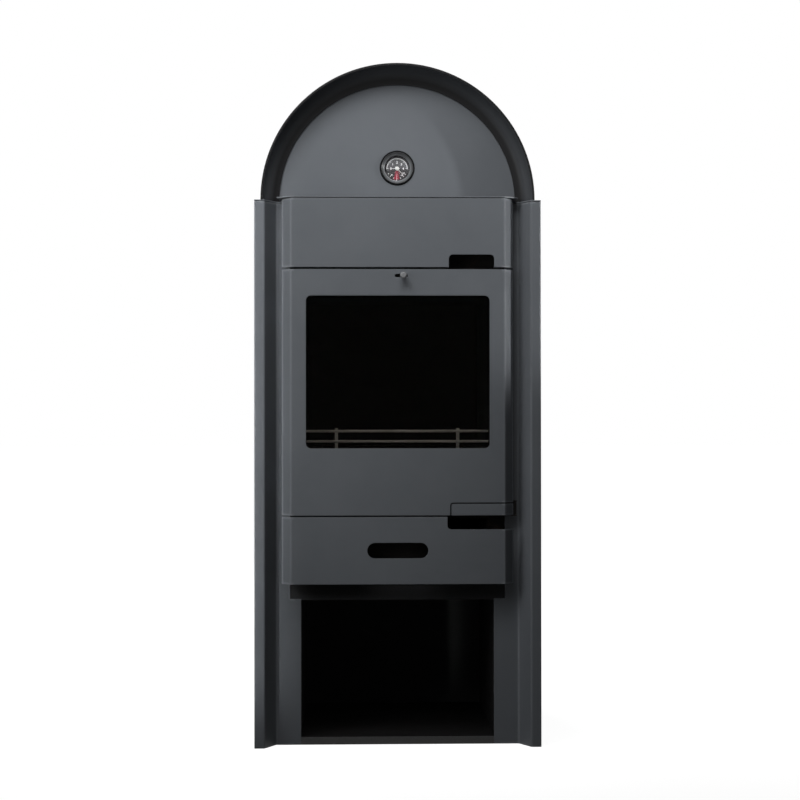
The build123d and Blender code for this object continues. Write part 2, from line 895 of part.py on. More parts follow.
# Safety coil: a hairpin pipe in the rear water space
coil_y = inner_back_y + water_gap / 2
coil_start_y = socket_rear_y - thread_length
with BuildPart() as safety_coil:
    for radius, coil_mode in ((coil_radius, Mode.ADD), (coil_bore, Mode.SUBTRACT)):
        with BuildLine() as coil_path:
            FilletPolyline(
                (socket_x, coil_start_y, coil_upper_z),
                (socket_x, coil_y, coil_upper_z),
                (coil_end_x, coil_y, coil_upper_z),
                (coil_end_x, coil_y, coil_lower_z),
                (socket_x, coil_y, coil_lower_z),
                (socket_x, coil_start_y, coil_lower_z),
                radius=coil_bend,
            )
        with BuildSketch(upright(coil_start_y)):
            with Locations((socket_x, coil_upper_z)):
                Circle(radius)
        sweep(path=coil_path.wires()[0], mode=coil_mode)

with BuildPart() as insulation_mats:
    for side in (-1, 1):
        mat_x = sorted((side * jacket_half, side * (jacket_half + insulation_thickness)))
        slab(mat_x, (plate_rear_y + fit_gap, outer_back_y), (ceiling_top, boiler_top))
    slab(
        (-jacket_half + fit_gap, jacket_half - fit_gap),
        (outer_back_y, outer_back_y + insulation_thickness),
        (ceiling_top, boiler_top),
    )
    for x, z, radius in rear_hole_places:
        rod(
            x,
            z,
            radius + rear_hole_clearance,
            (outer_back_y - 1, outer_back_y + insulation_thickness + 1),
            mode=Mode.SUBTRACT,
        )

# Fire bricks round the grate
with BuildPart() as fire_bricks:
    brick_z = (hearth_top, hearth_top + brick_height)
    brick_y = (plate_rear_y + brick_gap, inner_rear_y - brick_thickness - brick_gap)
    for side in (-1, 1):
        brick_x = sorted((side * firebox_half, side * (firebox_half - brick_thickness)))
        slab(brick_x, brick_y, brick_z)
    slab((-firebox_half, firebox_half), (inner_rear_y - brick_thickness, inner_rear_y), brick_z)

with BuildPart() as grate:
    with BuildSketch(Plane.XY.offset(hearth_top)):
        with Locations((0, grate_mid_y)):
            RectangleRounded(grate_width, grate_depth, opening_corner)
            slots_across = int((grate_width - 2 * grate_opening_margin) / grate_slot_pitch)
            with GridLocations(grate_slot_pitch, grate_slot_length + grate_slot_pitch / 2, slots_across, 2):
                SlotOverall(grate_slot_length, grate_slot_width, rotation=90, mode=Mode.SUBTRACT)
    extrude(amount=grate_thickness)

# Log guard: two bars on two posts, just behind the glass
guard_front_y = grate_mid_y - grate_depth / 2 - guard_foot_gap - guard_foot_depth
with BuildPart() as log_guard:
    half_post = guard_post_width / 2
    for side in (-1, 1):
        post_x = side * guard_post_x
        slab(
            (post_x - half_post, post_x + half_post),
            (guard_front_y, guard_front_y + guard_post_width),
            (hearth_top, guard_post_top),
        )
        slab(
            (post_x - guard_foot_width / 2, post_x + guard_foot_width / 2),
            (guard_front_y, guard_front_y + guard_foot_depth),
            (hearth_top, hearth_top + guard_foot_thickness),
        )
    for z in (guard_upper_z, guard_lower_z):
        with BuildSketch(Plane.YZ.offset(-firebox_half + guard_end_gap)):
            with Locations((guard_front_y, z)):
                Circle(guard_bar_radius)
        extrude(amount=2 * (firebox_half - guard_end_gap))

# Ash chamber under the hearth
with BuildPart() as ash_chamber:
    chamber_y = (plate_rear_y, chamber_rear_y + ash_sheet)
    slab((-ash_opening_half, ash_opening_half), chamber_y, (ash_opening_bottom, hearth_z))
    slab(
        (-ash_opening_half + ash_sheet, ash_opening_half - ash_sheet),
        (plate_rear_y, chamber_rear_y),
        (ash_opening_bottom + ash_sheet, hearth_z),
        mode=Mode.SUBTRACT,
    )

# Gauge: case with its rim and spindle, dial, glass, bezel and capillary
with BuildPart() as gauge_case:
    cup_radius = gauge_case_radius - gauge_wall
    cup_y = (case_y, case_rear_y - gauge_wall)
    rod(0, gauge_z, gauge_rim_radius, (case_y, case_y + gauge_wall))
    rod(0, gauge_z, gauge_case_radius, (case_y, case_rear_y))
    rod(0, gauge_z, cup_radius, cup_y, mode=Mode.SUBTRACT)
    rod(0, gauge_z, spindle_radius, (panel_y + spindle_front, case_rear_y - gauge_wall))

with BuildPart() as gauge_dial:
    rod(0, gauge_z, cup_radius, (dial_y, dial_y + dial_thickness))
    rod(0, gauge_z, spindle_radius, (dial_y, dial_y + dial_thickness), mode=Mode.SUBTRACT)

with BuildPart() as gauge_glass:
    rod(0, gauge_z, bezel_inner_radius + glass_ledge, (panel_y, panel_y + lens_thickness))

with BuildPart() as gauge_bezel:
    with BuildSketch(Plane.XY.offset(gauge_z)):
        with BuildLine():
            Polyline(
                (bezel_inner_radius, panel_y),
                (bezel_radius - bezel_edge, panel_y - bezel_proud),
                (bezel_radius, panel_y - bezel_proud + bezel_edge),
                (bezel_radius, case_y),
                (bezel_inner_radius + glass_ledge, case_y),
                (bezel_inner_radius + glass_ledge, panel_y),
                close=True,
            )
        make_face()
    revolve(axis=Axis((0, 0, gauge_z), (0, 1, 0)))

with BuildPart() as gauge_capillary:
    with BuildLine() as capillary_path:
        FilletPolyline(
            (0, case_rear_y, gauge_z),
            (0, case_rear_y + capillary_reach, gauge_z),
            (0, case_rear_y + capillary_reach, plate_top),
            radius=capillary_bend,
        )
    with BuildSketch(upright(case_rear_y)):
        with Locations((0, gauge_z)):
            Circle(capillary_radius)
    sweep(path=capillary_path.wires()[0])

with BuildPart() as pressure_needle:
    pressure_rear_y = dial_y - pressure_needle_gap
    needle(
        pressure_needle_length,
        pressure_needle_width,
        needle_cap_radius,
        pressure_needle_angle,
        pressure_rear_y,
    )

with BuildPart() as temperature_needle:
    temperature_rear_y = dial_y - temperature_needle_gap
    needle(
        temperature_needle_length,
        temperature_needle_width,
        needle_hub_radius,
        temperature_needle_angle,
        temperature_rear_y,
    )

# Cleaning cover behind the hatch, with its seal and two knobs
cover_bottom = sweep_opening_bottom - sweep_cover_margin
cover_top = sweep_opening_top + sweep_cover_margin
cover_rear_y = sweep_cover_y + sweep_cover_thickness
cover_mid_z = (cover_bottom + cover_top) / 2
sweep_stud_places = [(-sweep_stud_x, cover_mid_z), (sweep_stud_x, cover_mid_z)]
with BuildPart() as sweep_cover:
    slab((-cover_half, cover_half), (sweep_cover_y, cover_rear_y), (cover_bottom, cover_top))
    for x, z in sweep_stud_places:
        rod(x, z, sweep_stud_radius + fit_gap, (sweep_cover_y, cover_rear_y), mode=Mode.SUBTRACT)

with BuildPart() as sweep_cover_seal:
    seal_offset = sweep_seal_margin + sweep_seal_width / 2
    ring(
        sweep_opening_half + seal_offset,
        sweep_opening_bottom - seal_offset,
        sweep_opening_top + seal_offset,
        sweep_seal_width,
        opening_corner + seal_offset,
        (cover_rear_y, plate_y),
    )

with BuildPart() as sweep_cover_knobs:
    for x, z in sweep_stud_places:
        rod(x, z, sweep_stud_radius, (sweep_cover_y, plate_y))
        rod(x, z, sweep_knob_radius, (sweep_cover_y - sweep_knob_height, sweep_cover_y))

# Hinge brackets on the left flange: a barrel, and the pin that stands in it
with BuildPart() as hinge_brackets:
    for heights, length in (
        (door_hinge_heights, door_barrel_length),
        (hatch_hinge_heights, hatch_barrel_length),
    ):
        for z in heights:
            slab(
                (hinge_x - leaf_thickness / 2, hinge_x + leaf_thickness / 2),
                (hinge_axis_y, flange_y),
                (z - length, z),
            )
            post(hinge_x, hinge_axis_y, barrel_radius, (z - length, z))
            post(hinge_x, hinge_axis_y, pin_radius, (z, z + length - pin_end_gap))

# Keeper on the right flange: an upright pin between two lugs
with BuildPart() as latch_keeper:
    keeper_z = (lug_bottom - keeper_gap - keeper_lug, lug_top + keeper_gap + keeper_lug)
    post(keeper_x, keeper_y, keeper_pin_radius, keeper_z)
    lug_front_y = latch_axis_y + keeper_lug_front
    for z in (keeper_z[0], keeper_z[1] - keeper_lug):
        slab((keeper_left, keeper_right), (lug_front_y, flange_y), (z, z + keeper_lug))
    slab((keeper_right - keeper_rib, keeper_right), (flange_y - keeper_rib, flange_y), keeper_z)

with BuildPart() as hatch_magnet:
    slab(
        (magnet_right - magnet_width, magnet_right),
        (shell_rear_y + magnet_gap, plate_y),
        (magnet_z - magnet_height / 2, magnet_z + magnet_height / 2),
    )

# Fire door: shell with the window, the air slot and a cut for the handle
with BuildPart() as door_shell:
    front_shell(door_bottom, door_top)
    with BuildSketch(upright(front_y)):
        with Locations((0, window_mid_z)):
            RectangleRounded(window_width, window_height, window_corner)
        with Locations(((air_slot_left + air_slot_right) / 2, air_slot_z)):
            SlotOverall(air_slot_right - air_slot_left, air_slot_height)
    extrude(amount=-shell_sheet, mode=Mode.SUBTRACT)
    corner_cut(grip_cut_left, grip_top + grip_gap, door_bottom - 1, grip_corner)

# Cast frame: rope groove, air holes, shutter guides and the lugs of the latch
with BuildPart() as door_frame:
    opening_x = (-frame_opening_half, frame_opening_half)
    slab((-frame_half, frame_half), (frame_y, frame_rear_y), (frame_bottom, frame_top))
    slab(
        opening_x,
        (frame_y, frame_rear_y),
        (frame_opening_bottom, frame_opening_top),
        mode=Mode.SUBTRACT,
    )
    slab(
        opening_x,
        (frame_y + frame_lower_plate, frame_rear_y),
        (frame_sill, frame_opening_bottom),
        mode=Mode.SUBTRACT,
    )
    ring(
        rope_half,
        rope_bottom,
        rope_top,
        rope_width,
        rope_corner,
        (frame_rear_y - rope_groove, frame_rear_y),
        mode=Mode.SUBTRACT,
    )
    with BuildSketch(upright(frame_y)):
        with Locations((0, air_hole_z)):
            with GridLocations(air_hole_pitch, 1, air_hole_count, 1):
                SlotOverall(air_hole_width, air_hole_height)
    extrude(amount=frame_y - frame_rear_y, mode=Mode.SUBTRACT)
    for side in (-1, 1):
        guide_sides = (side * guide_x - guide_width / 2, side * guide_x + guide_width / 2)
        guide_rear_y = shutter_y - guide_gap
        slab(
            guide_sides,
            (guide_rear_y - guide_sheet, frame_y + guide_foot),
            (frame_top, frame_top + guide_sheet),
        )
        slab(
            guide_sides,
            (guide_rear_y - guide_sheet, guide_rear_y),
            (frame_top - guide_lip, frame_top),
        )
    for z in stud_heights:
        for x in (-stud_x, stud_x):
            rod(x, z, stud_radius + fit_gap / 2, (frame_y, frame_rear_y), mode=Mode.SUBTRACT)
    lug_y = (latch_axis_y - lug_radius, latch_axis_y + lug_radius)
    for z in (lug_bottom, lug_top - lug_thickness):
        slab((frame_half - lug_root, latch_x), lug_y, (z, z + lug_thickness))
        post(latch_x, latch_axis_y, lug_radius, (z, z + lug_thickness))
    slab((frame_half - lug_root, frame_half), lug_y, (lug_bottom, frame_bottom))
    post(latch_x, latch_axis_y, latch_pin_radius, (lug_bottom, lug_top), mode=Mode.SUBTRACT)

with BuildPart() as door_glass:
    slab((-glass_half, glass_half), (glass_y, glass_y + glass_thickness), (glass_bottom, glass_top))

with BuildPart() as glass_gaskets:
    gasket_offset = gasket_inset + gasket_width / 2
    for y in (glass_y - gasket_thickness, glass_y + glass_thickness):
        ring(
            glass_half - gasket_offset,
            glass_bottom + gasket_offset,
            glass_top - gasket_offset,
            gasket_width,
            gasket_width,
            (y, y + gasket_thickness),
        )

with BuildPart() as door_studs:
    for z in stud_heights:
        for x in (-stud_x, stud_x):
            rod(x, z, stud_radius, (front_y + shell_sheet, frame_rear_y + stud_end))
            with BuildSketch(upright(frame_rear_y)):
                with Locations((x, z)):
                    RegularPolygon(nut_radius, 6)
            extrude(amount=-nut_height)

with BuildPart() as door_rope:
    ring(
        rope_half,
        rope_bottom,
        rope_top,
        rope_width,
        rope_corner,
        (frame_rear_y - rope_groove, plate_y - fit_gap),
    )
    fillet(door_rope.edges().group_by(Axis.Y)[-1], radius=rope_round)

with BuildPart() as door_hinge_knuckles:
    for z in door_hinge_heights:
        knuckle_z = (z + barrel_gap, z + barrel_gap + door_barrel_length)
        slab(
            (hinge_x, -frame_half),
            (hinge_axis_y - leaf_thickness / 2, hinge_axis_y + leaf_thickness / 2),
            knuckle_z,
        )
        post(hinge_x, hinge_axis_y, barrel_radius, knuckle_z)
        post(hinge_x, hinge_axis_y, pin_radius + pin_clearance, knuckle_z, mode=Mode.SUBTRACT)

with BuildPart() as handle_pin:
    post(latch_x, latch_axis_y, latch_pin_radius, (lug_bottom, lug_top))

# Door handle: the corner of the door is its grip, and a lever carries it
with BuildPart() as handle_plate:
    shell_block(door_bottom, grip_top, 0, shell_rear_y, shell_bend_radius)
    shell_block(
        door_bottom - 1,
        grip_top + 1,
        shell_sheet,
        shell_rear_y + shell_sheet,
        shell_bend_radius - shell_sheet,
        mode=Mode.SUBTRACT,
    )
    slab(
        (-shell_rear_half - 1, grip_cut_left + grip_gap),
        (front_y - 1, shell_rear_y + 1),
        (door_bottom - 1, grip_top + 1),
        mode=Mode.SUBTRACT,
    )
    grip_edges = handle_plate.edges().filter_by(Axis.Y).group_by(Axis.X)[0]
    fillet(grip_edges.sort_by(Axis.Z)[-1], radius=grip_corner - grip_gap)

with BuildPart() as handle_lever:
    with BuildSketch(Plane.XY.offset(lever_z[0])):
        with BuildLine():
            Polyline(
                (lever_left, front_y + shell_sheet),
                (shell_bend_half - lever_elbow, front_y + shell_sheet),
                (latch_x, latch_axis_y - lug_radius),
                (latch_x, latch_axis_y),
                (latch_x - lug_radius, latch_axis_y),
                (frame_half + lever_clear, frame_y + lever_clear / 2),
                (frame_half - lever_clear / 2, frame_y - lever_clear),
                (lever_left, frame_y - lever_clear),
                close=True,
            )
        make_face()
    extrude(amount=lever_z[1] - lever_z[0])
    post(latch_x, latch_axis_y, lug_radius, lever_z)
    hook_z = (lever_z[0] + hook_margin, lever_z[1] - hook_margin)
    hook_x = latch_x - hook_left
    hook_y = latch_axis_y + hook_rear
    slab((hook_x, hook_x + hook_shank), (latch_axis_y, hook_y), hook_z)
    slab((hook_x, keeper_x - keeper_pin_radius - hook_gap), (hook_y - hook_thickness, hook_y), hook_z)
    post(latch_x, latch_axis_y, latch_pin_radius + pin_clearance, lever_z, mode=Mode.SUBTRACT)

# Air slider: a shutter over the air holes, and its knob through the shell
with BuildPart() as air_shutter:
    with BuildSketch(upright(shutter_y)):
        with Locations((0, (shutter_bottom + shutter_top) / 2)):
            Rectangle(2 * shutter_half, shutter_top - shutter_bottom)
        with Locations((-shutter_open, air_hole_z)):
            with GridLocations(air_hole_pitch, 1, air_hole_count, 1):
                SlotOverall(air_hole_width, air_hole_height, mode=Mode.SUBTRACT)
    extrude(amount=-shutter_thickness)

with BuildPart() as slider_knob:
    with BuildSketch(Plane.XY.offset(air_slot_z)) as knob_profile:
        with BuildLine():
            Polyline(
                (knob_x, shutter_y),
                (knob_x + knob_stem_radius, shutter_y),
                (knob_x + knob_stem_radius, front_y - knob_neck),
                (knob_x + knob_radius, front_y - knob_neck),
                (knob_x + knob_radius, front_y - knob_reach),
                (knob_x, front_y - knob_reach),
                close=True,
            )
        make_face()
        fillet(knob_profile.vertices().group_by(Axis.Y)[0].sort_by(Axis.X)[-1], radius=knob_dome)
    revolve(axis=Axis((knob_x, 0, air_slot_z), (0, 1, 0)))

# Ash drawer: folded front with its slot and recess, and the pan behind it
with BuildPart() as drawer_front:
    front_shell(drawer_bottom, drawer_top)
    with BuildSketch(upright(front_y)):
        with Locations((drawer_slot_x, drawer_slot_z)):
            SlotOverall(drawer_slot_width, drawer_slot_height)
    extrude(amount=-shell_sheet, mode=Mode.SUBTRACT)
    corner_cut(recess_left, drawer_top - recess_height, drawer_top + 1, notch_corner)

with BuildPart() as ash_pan:
    slab(
        (-pan_half, pan_half),
        (front_y + shell_sheet, pan_rear_y),
        (pan_bottom, pan_top),
    )
    slab(
        (-pan_half + pan_sheet, pan_half - pan_sheet),
        (front_y + pan_front + pan_sheet, pan_rear_y - pan_sheet),
        (pan_bottom + pan_sheet, pan_top),
        mode=Mode.SUBTRACT,
    )
    slab(
        (-pan_half + pan_sheet, pan_half - pan_sheet),
        (front_y + shell_sheet, front_y + pan_front),
        (pan_bottom, pan_top),
        mode=Mode.SUBTRACT,
    )

# Hatch over the cleaning cover
with BuildPart() as hatch_cover:
    front_shell(hatch_bottom, hatch_top)
    with BuildSketch(upright(front_y)):
        with Locations(((notch_left + notch_right) / 2, hatch_bottom)):
            RectangleRounded(notch_right - notch_left, 2 * notch_height, notch_corner)
    extrude(amount=-shell_depth, mode=Mode.SUBTRACT)

with BuildPart() as hatch_backplate:
    slab(
        (-hatch_plate_half, hatch_plate_half),
        (shell_rear_y - hatch_plate_thickness, shell_rear_y),
        (hatch_plate_bottom, hatch_top - shell_sheet),
    )

with BuildPart() as hatch_hinge_knuckles:
    for z in hatch_hinge_heights:
        knuckle_z = (z + barrel_gap, z + barrel_gap + hatch_barrel_length)
        slab(
            (hinge_x, hinge_x + hatch_leaf_length),
            (shell_rear_y, shell_rear_y + hatch_leaf_thickness),
            knuckle_z,
        )
        post(hinge_x, hinge_axis_y, barrel_radius, knuckle_z)
        post(hinge_x, hinge_axis_y, pin_radius + pin_clearance, knuckle_z, mode=Mode.SUBTRACT)

# One file for each piece
pieces = {
    "left_side_panel": left_side_panel,
    "right_side_panel": right_side_panel,
    "column_caps": column_caps,
    "arch_shell": arch_shell,
    "arch_cove": arch_cove,
    "arch_panel": arch_panel,
    "top_ledge": top_ledge,
    "rear_panel": rear_panel,
    "rear_panel_screws": rear_panel_screws,
    "base_plate": base_plate,
    "store_floor": store_floor,
    "store_walls": store_walls,
    "store_ceiling": store_ceiling,
    "front_plate": front_plate,
    "outer_jacket": outer_jacket,
    "inner_jacket": inner_jacket,
    "hearth_plate": hearth_plate,
    "boiler_top_plate": boiler_top_plate,
    "water_crown": water_crown,
    "cross_tubes": cross_tubes,
    "flue_collar": flue_collar,
    "one_inch_sockets": one_inch_sockets,
    "half_inch_sockets": half_inch_sockets,
    "safety_coil": safety_coil,
    "insulation_mats": insulation_mats,
    "fire_bricks": fire_bricks,
    "grate": grate,
    "log_guard": log_guard,
    "ash_chamber": ash_chamber,
    "gauge_case": gauge_case,
    "gauge_bezel": gauge_bezel,
    "gauge_dial": gauge_dial,
    "gauge_glass": gauge_glass,
    "gauge_capillary": gauge_capillary,
    "pressure_needle": pressure_needle,
    "temperature_needle": temperature_needle,
    "sweep_cover": sweep_cover,
    "sweep_cover_seal": sweep_cover_seal,
    "sweep_cover_knobs": sweep_cover_knobs,
    "hinge_brackets": hinge_brackets,
    "latch_keeper": latch_keeper,
    "hatch_magnet": hatch_magnet,
    "door_shell": door_shell,
    "door_frame": door_frame,
    "door_glass": door_glass,
    "glass_gaskets": glass_gaskets,
    "door_studs": door_studs,
    "door_rope": door_rope,
    "door_hinge_knuckles": door_hinge_knuckles,
    "handle_pin": handle_pin,
    "handle_plate": handle_plate,
    "handle_lever": handle_lever,
    "air_shutter": air_shutter,
    "slider_knob": slider_knob,
    "drawer_front": drawer_front,
    "ash_pan": ash_pan,
    "hatch_cover": hatch_cover,
    "hatch_backplate": hatch_backplate,
    "hatch_hinge_knuckles": hatch_hinge_knuckles,
}
for name, piece in pieces.items():
    piece.part.label = name
    export_step(piece.part, f"parts/{name}.step")
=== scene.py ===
import json
import math
import bpy
import bmesh
from mathutils import Matrix, Vector


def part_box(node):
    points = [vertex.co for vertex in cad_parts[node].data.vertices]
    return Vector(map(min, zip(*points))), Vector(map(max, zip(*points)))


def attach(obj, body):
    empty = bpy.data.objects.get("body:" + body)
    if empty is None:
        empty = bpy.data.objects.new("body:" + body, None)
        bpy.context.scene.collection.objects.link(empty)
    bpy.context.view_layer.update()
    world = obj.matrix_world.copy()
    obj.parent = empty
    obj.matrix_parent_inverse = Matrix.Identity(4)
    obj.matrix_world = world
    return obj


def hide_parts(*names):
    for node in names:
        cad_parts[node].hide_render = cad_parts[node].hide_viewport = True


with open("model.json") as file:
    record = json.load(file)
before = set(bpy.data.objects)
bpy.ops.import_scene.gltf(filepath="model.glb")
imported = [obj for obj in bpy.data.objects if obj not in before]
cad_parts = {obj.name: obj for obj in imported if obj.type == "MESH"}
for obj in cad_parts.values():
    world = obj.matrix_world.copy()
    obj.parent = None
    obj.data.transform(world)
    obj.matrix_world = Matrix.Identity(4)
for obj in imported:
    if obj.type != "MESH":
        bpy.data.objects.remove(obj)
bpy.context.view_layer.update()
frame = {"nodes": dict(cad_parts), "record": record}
nodes = frame["nodes"]
print("frame loaded:", len(nodes), "CAD nodes")

# everything is in metres, X to the right, Y to the back, Z up, as in the CAD frame

shot = {                     # the camera, where the photo was taken from
    "distance": 3.3,         # from the pillars' front plane
    "x": -0.0857,
    "z": 0.6399,
    "yaw": 1.555,            # degrees to the right
    "pitch": 0.439,          # degrees up
    "roll": 0.053,
    "focalPixels": 1723.4,   # for a picture 800 wide
    "pictureWidth": 800,
    "sensorWidth": 36,       # millimetres
    "clip": (0.05, 200),
}
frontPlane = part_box("left_side_panel")[0].y

lensData = bpy.data.cameras.new("photoCamera")
lensData.sensor_width = shot["sensorWidth"]
lensData.lens = shot["focalPixels"] / shot["pictureWidth"] * shot["sensorWidth"]
lensData.clip_start, lensData.clip_end = shot["clip"]
photoCamera = bpy.data.objects.new("photoCamera", lensData)
bpy.context.scene.collection.objects.link(photoCamera)
yaw, pitch = math.radians(shot["yaw"]), math.radians(shot["pitch"])
aim = Vector((math.sin(yaw) * math.cos(pitch), math.cos(yaw) * math.cos(pitch), math.sin(pitch)))
photoCamera.location = (shot["x"], frontPlane - shot["distance"], shot["z"])
turn = aim.to_track_quat("-Z", "Y").to_matrix() @ Matrix.Rotation(-math.radians(shot["roll"]), 3, "Z")
photoCamera.rotation_euler = turn.to_euler()
bpy.context.scene.camera = photoCamera
print("camera placed")


# the linear colour of a picture colour given in 0 to 255
def srgb(red, green, blue):
    steps = [v / 255 for v in (red, green, blue)]
    return tuple(s / 12.92 if s <= 0.04045 else ((s + 0.055) / 1.055) ** 2.4 for s in steps) + (1,)


def newTree(name):
    material = bpy.data.materials.new(name)
    material.use_nodes = True
    tree = material.node_tree
    tree.nodes.clear()
    output = tree.nodes.new("ShaderNodeOutputMaterial")
    shader = tree.nodes.new("ShaderNodeBsdfPrincipled")
    tree.links.new(shader.outputs["BSDF"], output.inputs["Surface"])
    return material, tree, shader


evenly = (1, 1, 1)


# object coordinates, which follow a piece through every pose
def objectPlace(tree, stretch=evenly):
    place = tree.nodes.new("ShaderNodeTexCoord")
    mapping = tree.nodes.new("ShaderNodeMapping")
    mapping.inputs["Scale"].default_value = stretch
    tree.links.new(place.outputs["Object"], mapping.inputs["Vector"])
    return mapping.outputs["Vector"]


def noise(tree, scale, detail, roughness, distortion=0, stretch=evenly):
    node = tree.nodes.new("ShaderNodeTexNoise")
    node.inputs["Scale"].default_value = scale
    node.inputs["Detail"].default_value = detail
    node.inputs["Roughness"].default_value = roughness
    node.inputs["Distortion"].default_value = distortion
    tree.links.new(objectPlace(tree, stretch), node.inputs["Vector"])
    return node.outputs["Fac"]


def remap(tree, source, fromLow, fromHigh, toLow=0.0, toHigh=1.0):
    node = tree.nodes.new("ShaderNodeMapRange")
    ends = {"From Min": fromLow, "From Max": fromHigh, "To Min": toLow, "To Max": toHigh}
    for socket, value in ends.items():
        node.inputs[socket].default_value = value
    tree.links.new(source, node.inputs["Value"])
    return node.outputs["Result"]


def combine(tree, operation, first, second):
    node = tree.nodes.new("ShaderNodeMath")
    node.operation = operation
    for index, value in enumerate((first, second)):
        if isinstance(value, (int, float)):
            node.inputs[index].default_value = value
        else:
            tree.links.new(value, node.inputs[index])
    return node.outputs["Value"]


# inputs 6 and 7 and output 2 are the colour ones of a mix node
def blendColour(tree, factor, first, second):
    node = tree.nodes.new("ShaderNodeMix")
    node.data_type = "RGBA"
    tree.links.new(factor, node.inputs[0])
    for index, value in ((6, first), (7, second)):
        if isinstance(value, tuple):
            node.inputs[index].default_value = value
        else:
            tree.links.new(value, node.inputs[index])
    return node.outputs[2]


edgeShading = {"samples": 4, "flat": 0.99, "turned": 0.8}     # cosines where an edge starts and is full


# the shading of edges that are rounded by radius, and how far each point is on such an edge
def roundedEdge(tree, radius):
    bevel = tree.nodes.new("ShaderNodeBevel")
    bevel.samples = edgeShading["samples"]
    bevel.inputs["Radius"].default_value = radius
    flat = tree.nodes.new("ShaderNodeNewGeometry")
    dot = tree.nodes.new("ShaderNodeVectorMath")
    dot.operation = "DOT_PRODUCT"
    tree.links.new(bevel.outputs["Normal"], dot.inputs[0])
    tree.links.new(flat.outputs["Normal"], dot.inputs[1])
    onEdge = remap(tree, dot.outputs["Value"], edgeShading["flat"], edgeShading["turned"])
    return bevel.outputs["Normal"], onEdge


# bump layers, each a height source with its depth in metres
def relief(tree, shader, layers, normal=None):
    for height, depth in layers:
        bump = tree.nodes.new("ShaderNodeBump")
        bump.inputs["Strength"].default_value = 1
        bump.inputs["Distance"].default_value = depth
        tree.links.new(height, bump.inputs["Height"])
        if normal is not None:
            tree.links.new(normal, bump.inputs["Normal"])
        normal = bump.outputs["Normal"]
    tree.links.new(normal, shader.inputs["Normal"])


mixing = {                                      # each noise has its detail, roughness and distortion
    "cloud": (5, 0.6, 0.4), "grain": (2, 0.6, 0), "spots": (6, 0.7, 1.2), "smear": (4, 0.6, 0.8),
    "patches": (60, 4, 0.6),                    # scale, detail and roughness
    "cloudSpan": (0.3, 0.7), "speckSpan": (0.3, 0.75), "patchSpan": (0.35, 0.65, 0.35, 1),
    "foldFade": 0.003, "foldSpan": (0, 0.35), "frontSpan": (-0.6, -0.9),
    "grainShare": 0.5, "roughSpan": (0.5, 1.0), "smearSpan": (0.35, 0.75), "tintSpan": (0.3, 0.8),
}


# a finish from a dictionary: two mixed tones, fine grain, spots, lighter edges (wear on most finishes, a
# painted highlight on some), a painted highlight along folds, and tones by facing and place that paint
# shade
def surface(name, look):
    material, tree, shader = newTree(name)
    cloud = noise(tree, look["cloudScale"], *mixing["cloud"])
    grain = noise(tree, look["grainScale"], *mixing["grain"], look.get("grainStretch", evenly))
    colour = blendColour(tree, remap(tree, cloud, *mixing["cloudSpan"]), look["tone"], look["secondTone"])
    speck = remap(tree, grain, *mixing["speckSpan"])
    specked = combine(tree, "MULTIPLY", speck, look["speckAmount"])
    colour = blendColour(tree, specked, colour, look["speckTone"])
    if "spotTone" in look:
        spots = noise(tree, look["spotScale"], *mixing["spots"])
        spotted = remap(tree, spots, look["spotFrom"], look["spotTo"])
        colour = blendColour(tree, spotted, colour, look["spotTone"])
    normal = None
    # lighter edges in patches: wear on most finishes, a painted highlight on the casing paint, the bezel
    # and the slider knob
    if "edgeRadius" in look:
        normal, onEdge = roundedEdge(tree, look["edgeRadius"])
        patchy = remap(tree, noise(tree, *mixing["patches"]), *mixing["patchSpan"])
        edgeWearAndHighlight = combine(tree, "MULTIPLY", combine(tree, "MULTIPLY", onEdge, patchy), look["edgeAmount"])
        colour = blendColour(tree, edgeWearAndHighlight, colour, look["edgeTone"])
    if "foldRadius" in look:                    # a painted highlight: a lighter tone along the upright folds at both sides
        onFold = roundedEdge(tree, look["foldRadius"])[1]
        sideways = tree.nodes.new("ShaderNodeSeparateXYZ")
        tree.links.new(objectPlace(tree), sideways.inputs[0])
        away = combine(tree, "ABSOLUTE", sideways.outputs["X"], 0)
        (near, far), fade = look["foldsWithin"], mixing["foldFade"]
        fromInside, fromOutside = remap(tree, away, near, near + fade), remap(tree, away, far, far - fade)
        foldHighlight = combine(tree, "MULTIPLY", fromInside, fromOutside)
        onFold = remap(tree, onFold, *mixing["foldSpan"], 0, look["foldHighlightAmount"])
        foldHighlight = combine(tree, "MULTIPLY", foldHighlight, onFold)
        colour = blendColour(tree, foldHighlight, colour, look["foldHighlightTone"])
    if "frontTone" in look:                     # another tone on the faces that look to the front; it paints shade: the store near black behind its grey front, a shadow under the drawer, the arch's front edges
        facing = tree.nodes.new("ShaderNodeSeparateXYZ")
        tree.links.new(tree.nodes.new("ShaderNodeTexCoord").outputs["Normal"], facing.inputs[0])
        front = remap(tree, facing.outputs["Y"], *mixing["frontSpan"])
        frontColour = blendColour(tree, speck, look["frontTone"], look["frontSpeck"])
        colour = blendColour(tree, front, colour, frontColour)
    if "ringShadeTone" in look:                      # painted shade: darker towards the outside of a ring round the Y axis
        place = tree.nodes.new("ShaderNodeVectorMath")
        place.operation = "DISTANCE"
        tree.links.new(objectPlace(tree, (1, 0, 1)), place.inputs[0])
        place.inputs[1].default_value = look["ringCentre"]
        outward = remap(tree, place.outputs["Value"], *look["ringFromTo"])
        colour = blendColour(tree, outward, colour, look["ringShadeTone"])
    tree.links.new(colour, shader.inputs["Base Color"])
    uneven = combine(tree, "ADD", cloud, combine(tree, "MULTIPLY", grain, mixing["grainShare"]))
    rough = remap(tree, uneven, *mixing["roughSpan"], *look["roughness"])
    tree.links.new(rough, shader.inputs["Roughness"])
    shader.inputs["Metallic"].default_value = look.get("metallic", 0)
    shader.inputs["Specular IOR Level"].default_value = look.get("specular", 0.5)
    layers = [(grain, look["grainDepth"])]
    if "cloudDepth" in look:
        layers.append((cloud, look["cloudDepth"]))
    relief(tree, shader, layers, normal)
    return material


